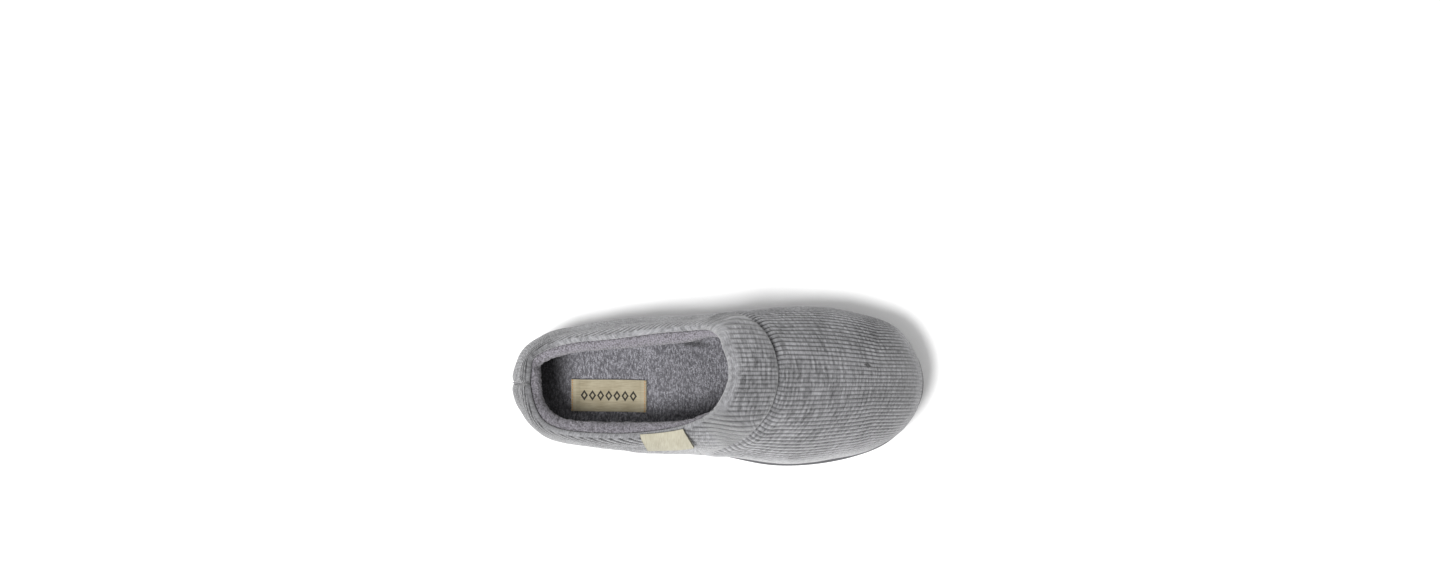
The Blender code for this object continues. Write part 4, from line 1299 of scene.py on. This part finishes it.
def knit_look(name, dark, light, pitch, seed, valley, speck=None):
    """Heather rib knit of brushed wool blend: painted shade in its soft valleys and along the V-stitches up
    each rib, streaks along the courses where the yarn changes shade, a fuzz that lightens it at a slant, and
    the tone attribute's painted light and shade."""
    made, shader, node = cloth(name, 0.95, 0.5)
    names = ("rib", "course", "rise", "tone", "heather")
    rib, course, rise, tone, heather = [node("Attribute", attribute_name=key, out="Fac") for key in names]
    at = node("TexCoord", out="Object")

    # Painted shade in the valleys between the ribs, and the V-stitches on them
    part = node("Math", rib, operation="FRACT")
    part = node("Math", part, 2.0, -1.0, operation="MULTIPLY_ADD")
    away = node("Math", part, operation="ABSOLUTE")
    valley_shade = node("Math", away, 2.4, operation="POWER")
    valley_shade = node("Math", valley_shade, rise, operation="MULTIPLY")
    turn = node("Math", course, 1.0 / COURSE_HEIGHT, operation="MULTIPLY")
    turn = node("Math", away, 0.55, turn, operation="MULTIPLY_ADD")
    turn = node("Math", turn, TAU, operation="MULTIPLY")
    wave = node("Math", turn, operation="SINE")
    vee = node("Math", wave, 0.5, 0.5, operation="MULTIPLY_ADD")

    # Yarn shades: 12 mm streaks across the ribs, single stitches, fibres of 0.7 mm and 22 mm clouds
    across = node("Math", rib, pitch / 12.0, operation="MULTIPLY")
    along = node("Math", course, 1.0 / 1.5, operation="MULTIPLY")
    where = node("CombineXYZ", across, along, seed)
    streak = node("TexNoise", {"Vector": where, "Scale": 1.0, "Detail": 2.0})
    streak = node("MapRange", streak, 0.36, 0.64)
    across = node("Math", rib, 1.1, operation="MULTIPLY")
    along = node("Math", course, 1.0 / 1.7, operation="MULTIPLY")
    where = node("CombineXYZ", across, along, seed + 5.0)
    stitch = node("TexNoise", {"Vector": where, "Scale": 1.0, "Detail": 1.0})
    stitch = node("MapRange", stitch, 0.32, 0.68)
    fuzz = node("TexNoise", {"Vector": at, "Scale": 1400.0, "Detail": 2.0})
    cloud = node("TexNoise", {"Vector": at, "Scale": 45.0, "Detail": 2.0})
    cloud = node("MapRange", cloud, 0.35, 0.65)

    share = node("Math", stitch, 0.44, 0.28, operation="MULTIPLY_ADD")
    part = node("Math", streak, 0.5, operation="SUBTRACT")
    part = node("Math", part, heather, operation="MULTIPLY")
    share = node("Math", part, 0.55, share, operation="MULTIPLY_ADD")
    for shade, weight in ((fuzz, 0.5), (cloud, 0.24)):
        part = node("Math", shade, 0.5, operation="SUBTRACT")
        share = node("Math", part, weight, share, operation="MULTIPLY_ADD")
    colour = node("Mix", {0: share, 6: dark, 7: light}, data_type="RGBA", out=2)

    # Painted shade: darker valleys, a faint wave along the V-stitches, and the tone attribute's painted light
    # and shade multiply the yarn colour.
    shade = node("Math", valley_shade, -valley, 1.0, operation="MULTIPLY_ADD")
    for other in (node("Math", vee, 0.2, 0.88, operation="MULTIPLY_ADD"), tone):
        shade = node("Math", shade, other, operation="MULTIPLY")
    grey = node("CombineXYZ", shade, shade, shade)
    colour = node("Mix", {0: 1.0, 6: colour, 7: grey}, data_type="RGBA", blend_type="MULTIPLY", out=2)
    if speck:
        colour = speck_of_yarn(node, at, colour, *speck)

    height = node("Math", 1.0, away, operation="SUBTRACT")
    height = node("Math", vee, height, operation="MULTIPLY")
    height = node("Math", fuzz, 0.9, height, operation="MULTIPLY_ADD")
    height = node("Math", stitch, 0.5, height, operation="MULTIPLY_ADD")
    return surface(made, shader, colour, height, 0.28)


def speck_of_yarn(node, at, colour, speck_x, speck_y):
    """A dark knot of yarn, a slanted lozenge 3.4 mm across at a plan point."""
    x, y, _ = node("SeparateXYZ", at, out=None)
    x = node("Math", x, 1.0 / MM, ORIGIN[0] - speck_x, operation="MULTIPLY_ADD")
    y = node("Math", y, 1.0 / MM, ORIGIN[1] - speck_y, operation="MULTIPLY_ADD")
    y = node("Math", x, 0.3, y, operation="MULTIPLY_ADD")
    x = node("Math", x, 0.7, operation="MULTIPLY")
    x = node("Math", x, operation="ABSOLUTE")
    y = node("Math", y, operation="ABSOLUTE")
    reach = node("Math", x, y, operation="ADD")
    inside = node("Math", reach, 1.7, operation="LESS_THAN")
    return node("Mix", {0: inside, 6: colour, 7: "#1c1c1e"}, data_type="RGBA", out=2)


def terry_look(name, dark, light, gap, flecked):
    """Terry towelling of two shades of yarn: small loops with shadow between them. The footbed's yarn shows
    as short upright flecks, 0.9 mm wide and 2.5 mm long."""
    made, shader, node = cloth(name, 0.97, 0.3)
    tone, nap = [node("Attribute", attribute_name=key, out="Fac") for key in ("tone", "nap")]
    at = node("TexCoord", out="Object")
    loops = node("TexVoronoi", {"Vector": at, "Scale": 1100.0}, out="Distance")
    lanes = [node("Math", axis, scale, operation="MULTIPLY")
             for axis, scale in zip(node("SeparateXYZ", at, out=None), (1150.0, 400.0, 500.0))]
    lanes = node("CombineXYZ", *lanes)
    fleck = node("TexNoise", {"Vector": lanes, "Scale": 1.0, "Detail": 2.0})
    fleck = node("MapRange", fleck, 0.42, 0.58)
    fine = node("TexNoise", {"Vector": at, "Scale": 560.0, "Detail": 4.0})
    fine = node("MapRange", fine, 0.34, 0.66)
    cloud = node("TexNoise", {"Vector": at, "Scale": 60.0, "Detail": 2.0})
    cloud = node("MapRange", cloud, 0.35, 0.65)
    share = node("Math", fine, 1.0 - flecked, operation="MULTIPLY")
    share = node("Math", fleck, flecked, share, operation="MULTIPLY_ADD")
    part = node("Math", cloud, 0.5, operation="SUBTRACT")
    share = node("Math", part, 0.15, share, operation="MULTIPLY_ADD")
    share = node("Math", share, 0.5, operation="SUBTRACT")
    share = node("Math", share, nap, 0.5, operation="MULTIPLY_ADD")
    colour = node("Mix", {0: share, 6: dark, 7: light}, data_type="RGBA", out=2)
    between = node("MapRange", loops, 0.25, 0.9)
    colour = node("Mix", {0: between, 6: colour, 7: gap}, data_type="RGBA", out=2)
    # The tone attribute's painted light and shade multiplies the colour.
    grey = node("CombineXYZ", tone, tone, tone)
    colour = node("Mix", {0: 1.0, 6: colour, 7: grey}, data_type="RGBA", blend_type="MULTIPLY", out=2)
    height = node("Math", fine, 0.7, operation="MULTIPLY")
    height = node("Math", height, loops, operation="SUBTRACT")
    return surface(made, shader, colour, height, 0.6)


def sole_look(name):
    """Matt moulded rubber: even grey with a fine grain that holds a little dust, and painted shade darkening
    it round the toe.
    """
    made, shader, node = cloth(name, 0.72, specular=0.4)
    at = node("TexCoord", out="Object")
    grain = node("TexNoise", {"Vector": at, "Scale": 900.0, "Detail": 3.0})
    cloud = node("TexNoise", {"Vector": at, "Scale": 30.0, "Detail": 3.0})
    cloud = node("MapRange", cloud, 0.3, 0.7)
    share = node("Math", cloud, 0.5, operation="MULTIPLY")
    share = node("Math", grain, 0.5, share, operation="MULTIPLY_ADD")
    colour = node("Mix", {0: share, 6: "#434345", 7: "#5a5a5d"}, data_type="RGBA", out=2)
    # Painted shade: the sole darkened round the toe, where its rim shows as a dark line against the knit.
    toe = node("MapRange", node("SeparateXYZ", at), 0.096, 0.118)
    toe = node("Math", toe, 0.6, operation="MULTIPLY")
    colour = node("Mix", {0: toe, 6: colour, 7: "#2a2a2b"}, data_type="RGBA", out=2)
    return surface(made, shader, colour, grain, 0.25)


def ribbon_look(name, dark, light, across, motif=False):
    """Woven cotton ribbon: a fine rep weave, matt and a little uneven. The label has a small woven band of
    plain lozenges."""
    made, shader, node = cloth(name, 0.9, 0.1)
    at = node("TexCoord", out="Object")
    x, y, z = node("SeparateXYZ", at, out=None)
    weft = node("Math", y if across else x, TAU / (0.6 * MM), operation="MULTIPLY")
    weft = node("Math", weft, operation="SINE")
    warp = node("Math", x if across else y, TAU / (0.9 * MM), operation="MULTIPLY")
    warp = node("Math", warp, operation="SINE")
    scales = (180.0, 1500.0, 300.0) if across else (1500.0, 180.0, 300.0)
    yarn = [node("Math", axis, scale, operation="MULTIPLY") for axis, scale in zip((x, y, z), scales)]
    yarn = node("CombineXYZ", *yarn)
    slub = node("TexNoise", {"Vector": yarn, "Scale": 1.0, "Detail": 2.0})
    slub = node("MapRange", slub, 0.3, 0.7)
    cloud = node("TexNoise", {"Vector": at, "Scale": 90.0, "Detail": 2.0})
    cloud = node("MapRange", cloud, 0.3, 0.7)
    share = node("Math", slub, 0.6, operation="MULTIPLY")
    share = node("Math", cloud, 0.4, share, operation="MULTIPLY_ADD")
    colour = node("Mix", {0: share, 6: dark, 7: light}, data_type="RGBA", out=2)
    if motif:
        colour = lozenge_band(node, x, y, colour)
    height = node("Math", warp, 0.3, operation="MULTIPLY")
    height = node("Math", weft, 0.5, height, operation="MULTIPLY_ADD")
    return surface(made, shader, colour, height, 0.06)


def lozenge_band(node, x, y, colour):
    """The label's paler folded ends, and along its middle a row of seven dark outlined lozenges."""
    long, wide = [
        node("Math", axis, 1.0 / MM, ORIGIN[i] - sum(ends) / 2.0, operation="MULTIPLY_ADD")
        for i, (axis, ends) in enumerate(((x, LABEL_X), (y, LABEL_Y)))]
    far = node("Math", long, operation="ABSOLUTE")
    folded = node("MapRange", far, 20.6, 20.9)
    folded = node("Math", folded, 0.12, operation="MULTIPLY")
    colour = node("Mix", {0: folded, 6: colour, 7: "#c9c1ab"}, data_type="RGBA", out=2)
    wide = node("Math", long, LABEL_TILT, wide, operation="MULTIPLY_ADD")
    wide = node("Math", wide, operation="ABSOLUTE")
    place = node("Math", long, 1.0 / LOZENGE_PITCH, 0.5, operation="MULTIPLY_ADD")
    place = node("Math", place, operation="FRACT")
    place = node("Math", place, 2.0, -1.0, operation="MULTIPLY_ADD")
    place = node("Math", place, operation="ABSOLUTE")
    reach = node("Math", wide, 1.0 / LOZENGE_TALL, place, operation="MULTIPLY_ADD")
    reach = node("Math", reach, 0.66, operation="SUBTRACT")
    reach = node("Math", reach, operation="ABSOLUTE")
    ring = node("Math", reach, 0.24, operation="LESS_THAN")
    inside = node("Math", far, 3.5 * LOZENGE_PITCH, operation="LESS_THAN")
    thread = node("Math", ring, inside, operation="MULTIPLY")
    thread = node("Math", thread, 0.92, operation="MULTIPLY")
    return node("Mix", {0: thread, 6: colour, 7: "#121214"}, data_type="RGBA", out=2)


def thread_look(name, colour, other):
    """Twisted sewing thread, satin, with a faint change of shade along it."""
    made, shader, node = cloth(name, 0.6, 0.1)
    twist = node("TexNoise", {"Vector": node("TexCoord", out="Object"), "Scale": 1800.0, "Detail": 1.0})
    colour = node("Mix", {0: twist, 6: colour, 7: other}, data_type="RGBA", out=2)
    return surface(made, shader, colour, twist, 0.08)


def floor_look(name, shade):
    """Plain matt paper sweep, nearly white, with a trace of unevenness."""
    made, shader, node = cloth(name, 0.9, specular=0.0)
    mottle = node("TexNoise", {"Vector": node("TexCoord", out="Object"), "Scale": 9.0, "Detail": 2.0})
    colour = node("Mix", {0: mottle, 6: shade, 7: "#fafafa"}, data_type="RGBA", out=2)
    return surface(made, shader, colour, mottle, 0.02)


LOOKS = {}


def looks(settings):
    """Every material, made once in a session from the panel's colours."""
    if not LOOKS:
        LOOKS["vamp"] = knit_look(
            "heather_rib_knit", settings.knit_dark, settings.knit_light, VAMP_PITCH, 1.0, 0.76, YARN_SPECK)
        LOOKS["cuff"] = knit_look(
            "brushed_cuff_knit", settings.cuff_dark, settings.cuff_light, CUFF_PITCH, 4.0, 0.82)
        LOOKS["lining"] = terry_look(
            "lining_terry_cloth", settings.lining_dark, settings.lining_light, "#4f4c50", 0.35)
        LOOKS["footbed"] = terry_look(
            "footbed_terry_cloth", settings.footbed_dark, settings.footbed_light, "#5c5b60", 0.75)
        LOOKS["sole"] = sole_look("moulded_grey_rubber")
        LOOKS["label"] = ribbon_look("woven_label_cotton", "#827963", "#a09883", True, motif=True)
        LOOKS["tag"] = ribbon_look("tag_ribbon_cotton", "#8c8878", "#a6a292", False)
        LOOKS["seam"] = thread_look("dark_seam_thread", "#3a383c", "#55525a")
        LOOKS["edge"] = thread_look("orange_edge_thread", "#a5794a", "#b98f62")
        LOOKS["floor"] = floor_look("white_paper", "#f4f4f4")
    return LOOKS


# Seams, stage and camera

def topline_path(rise, out, count=900):
    turn = np.arange(count) * TAU / count
    cuff = topline(turn)[3]
    zero = np.zeros(count)
    normal = skin_normal(turn, zero)
    base = meridian(turn, zero)
    tangent = unit(base - meridian(turn, zero + 0.05))
    tangent = unit(tangent - normal * np.sum(tangent * normal, axis=1, keepdims=True))
    return base - normal * (set_back(cuff) - out)[:, None] + tangent * rise


def make_seams(materials):
    """The sewn seams: dark thread round the top edge between lining and cuff, and up the back."""
    path = topline_path(0.75, 0.15)
    path = np.concatenate([path, path[:1]])
    stitches("topline_stitches", [path], materials["seam"], 2.7, 1.5, 0.24)
    way = np.linspace(0.03, 1.6, 60)
    turn = np.zeros(len(way))
    cuff = topline(turn)[3]
    stand = GAP + cuff_outer(turn, way, np.full(len(way), 2.0)) - set_back(cuff) - 0.85
    line = meridian(turn, way) + skin_normal(turn, way) * stand[:, None]
    stitches("back_seam_stitches", [line], materials["seam"], 2.4, 1.5, 0.3)


def make_label_thread(materials):
    """The label's sewn short sides, in an orange-tinted thread, and a dark line of the seam thread along its
    top long edge.
    """
    base = insole_level() + 1.5
    lines = []
    for x in (LABEL_X[0] + 0.7, LABEL_X[1] - 0.9):
        y = np.linspace(LABEL_Y[0] + 0.8, LABEL_Y[1] - 0.8, 24)
        tilt = LABEL_TILT * (x - sum(LABEL_X) / 2.0)
        lines.append(np.column_stack([np.full(len(y), x), y - tilt, np.full(len(y), base)]))
    stitches("label_edge_stitches", lines, materials["edge"], 1.5, 1.2, 0.4)
    # A continuous dark line of thread beads just past the label's top long edge.
    x = np.linspace(LABEL_X[0] + 0.5, LABEL_X[1] - 3.5, 60)
    y = LABEL_Y[1] + 0.1 + 0.2 * np.sin(x / 9.0) - LABEL_TILT * (x - sum(LABEL_X) / 2.0)
    rim = np.column_stack([x, y, np.full(len(x), base - 0.75)])
    stitches("label_top_dark_line", [rim], materials["seam"], 1.2, 1.4, 0.3)


def make_stage(settings, materials):
    """A white paper floor, a soft high key from the heel's outer side, a white world and the camera."""
    scene = bpy.context.scene
    bpy.ops.mesh.primitive_plane_add(size=30.0, location=(0.0, 0.0, 0.0))
    floor = bpy.context.active_object
    floor.name = "floor"
    floor.data.materials.append(materials["floor"])
    world = bpy.data.worlds.new("soft_studio")
    world.use_nodes = True
    world.node_tree.nodes["Background"].inputs["Color"].default_value = (1.0, 1.0, 1.0, 1.0)
    world.node_tree.nodes["Background"].inputs["Strength"].default_value = settings.fill_light
    scene.world = world
    key = bpy.data.lights.new("key", "AREA")
    key.shape = "DISK"
    key.size = 0.85
    key.energy = settings.key_light
    lamp = bpy.data.objects.new("key", key)
    lamp.location = (-0.79, -0.6, 2.0)
    lamp.rotation_euler = (Vector((0.0, 0.0, 0.0)) - lamp.location).to_track_quat("-Z", "Y").to_euler()
    scene.collection.objects.link(lamp)
    lens = bpy.data.cameras.new("camera")
    lens.lens = 40.0
    lens.sensor_width = 36.0
    lens.clip_start = 0.05
    camera = bpy.data.objects.new("camera", lens)
    camera.location = (0.0, 0.0, EYE_HEIGHT * MM)
    aim = Vector((0.001, 0.0666, 0.025))
    forward = (aim - camera.location).normalized()
    right = forward.cross(Vector((0.0, 1.0, 0.0))).normalized()
    up = right.cross(forward)
    turn = Matrix((right, up, -forward)).transposed()
    camera.rotation_euler = turn.to_euler()
    scene.collection.objects.link(camera)
    scene.camera = camera
    scene.view_settings.view_transform = "Standard"
    scene.view_settings.look = "None"
    scene.view_settings.exposure = 0.0


# The add-on: settings, one operator for each piece or group, and the panel

class SlipperSettings(bpy.types.PropertyGroup):
    rib_height: FloatProperty(
        name="Rib height", description="How far the ribs stand up", default=0.00045, min=0.0, max=0.001,
        unit="LENGTH", precision=5)
    knit_dark: StringProperty(
        name="Vamp dark yarn", default="#3b3b3d",
        description="Darker yarn of the vamp's heather, as sRGB hex")
    knit_light: StringProperty(
        name="Vamp light yarn", default="#8c8c8f",
        description="Lighter yarn of the vamp's heather, as sRGB hex")
    cuff_dark: StringProperty(
        name="Cuff dark yarn", default="#424244",
        description="Darker yarn of the cuff's heather, as sRGB hex")
    cuff_light: StringProperty(
        name="Cuff light yarn", default="#949497",
        description="Lighter yarn of the cuff's heather, as sRGB hex")
    lining_dark: StringProperty(
        name="Lining dark yarn", default="#716e76",
        description="Darker yarn of the lining terry, as sRGB hex")
    lining_light: StringProperty(
        name="Lining light yarn", default="#a39fa7",
        description="Lighter yarn of the lining terry, as sRGB hex")
    footbed_dark: StringProperty(
        name="Footbed dark yarn", default="#434247",
        description="Darker yarn of the footbed terry, as sRGB hex")
    footbed_light: StringProperty(
        name="Footbed light yarn", default="#a2a1a8",
        description="Lighter yarn of the footbed terry, as sRGB hex")
    fill_light: FloatProperty(
        name="Fill light", description="Strength of the white surroundings", default=0.6, min=0.0, max=5.0)
    key_light: FloatProperty(
        name="Key light", description="Power of the large soft key", default=66.0, min=0.0, max=1000.0,
        unit="POWER")


class SLIPPER_OT_upper(bpy.types.Operator):
    """Build the ribbed vamp and the padded cuff round the opening"""

    bl_idname = "slipper.upper"
    bl_label = "Build the knit upper"

    def execute(self, context):
        settings = context.scene.slipper
        make_vamp(settings, looks(settings))
        make_cuff(settings, looks(settings))
        return {"FINISHED"}


class SLIPPER_OT_inside(bpy.types.Operator):
    """Build the terry lining and the padded footbed"""

    bl_idname = "slipper.inside"
    bl_label = "Build lining and footbed"

    def execute(self, context):
        materials = looks(context.scene.slipper)
        make_lining(materials)
        make_footbed(materials)
        return {"FINISHED"}


class SLIPPER_OT_sole(bpy.types.Operator):
    """Build the moulded sole with its grooves"""

    bl_idname = "slipper.sole"
    bl_label = "Build the sole"

    def execute(self, context):
        materials = looks(context.scene.slipper)
        make_sole(materials)
        return {"FINISHED"}


class SLIPPER_OT_ribbons(bpy.types.Operator):
    """Build the woven label on the footbed and the folded side tag"""

    bl_idname = "slipper.ribbons"
    bl_label = "Build label and tag"

    def execute(self, context):
        materials = looks(context.scene.slipper)
        make_label(materials)
        make_tag(materials)
        return {"FINISHED"}


class SLIPPER_OT_seams(bpy.types.Operator):
    """Sew the seams round the top edge, up the back and at the label"""

    bl_idname = "slipper.seams"
    bl_label = "Sew the seams"

    def execute(self, context):
        materials = looks(context.scene.slipper)
        make_seams(materials)
        make_label_thread(materials)
        return {"FINISHED"}


class SLIPPER_OT_stage(bpy.types.Operator):
    """Set the floor, the soft studio light and the camera"""

    bl_idname = "slipper.stage"
    bl_label = "Set the stage"

    def execute(self, context):
        settings = context.scene.slipper
        make_stage(settings, looks(settings))
        return {"FINISHED"}


class SLIPPER_PT_panel(bpy.types.Panel):
    """Sizes and colours of the slipper, and a button for each group of pieces"""

    bl_label = "Knitted slipper"
    bl_idname = "SLIPPER_PT_panel"
    bl_space_type = "VIEW_3D"
    bl_region_type = "UI"
    bl_category = "Slipper"

    def draw(self, context):
        settings = context.scene.slipper
        for name in SlipperSettings.__annotations__:
            self.layout.prop(settings, name)
        for made in OPERATORS:
            self.layout.operator(made.bl_idname)


OPERATORS = (
    SLIPPER_OT_upper, SLIPPER_OT_inside, SLIPPER_OT_sole, SLIPPER_OT_ribbons, SLIPPER_OT_seams,
    SLIPPER_OT_stage,
)


def register():
    for made in (SlipperSettings, *OPERATORS, SLIPPER_PT_panel):
        bpy.utils.register_class(made)
    bpy.types.Scene.slipper = PointerProperty(type=SlipperSettings)


def unregister():
    del bpy.types.Scene.slipper
    for made in (SLIPPER_PT_panel, *reversed(OPERATORS), SlipperSettings):
        bpy.utils.unregister_class(made)


def main():
    """Builds every piece in order."""
    register()
    bpy.ops.slipper.upper()
    bpy.ops.slipper.inside()
    bpy.ops.slipper.sole()
    bpy.ops.slipper.ribbons()
    bpy.ops.slipper.seams()
    bpy.ops.slipper.stage()


if __name__ == "__main__":
    main()
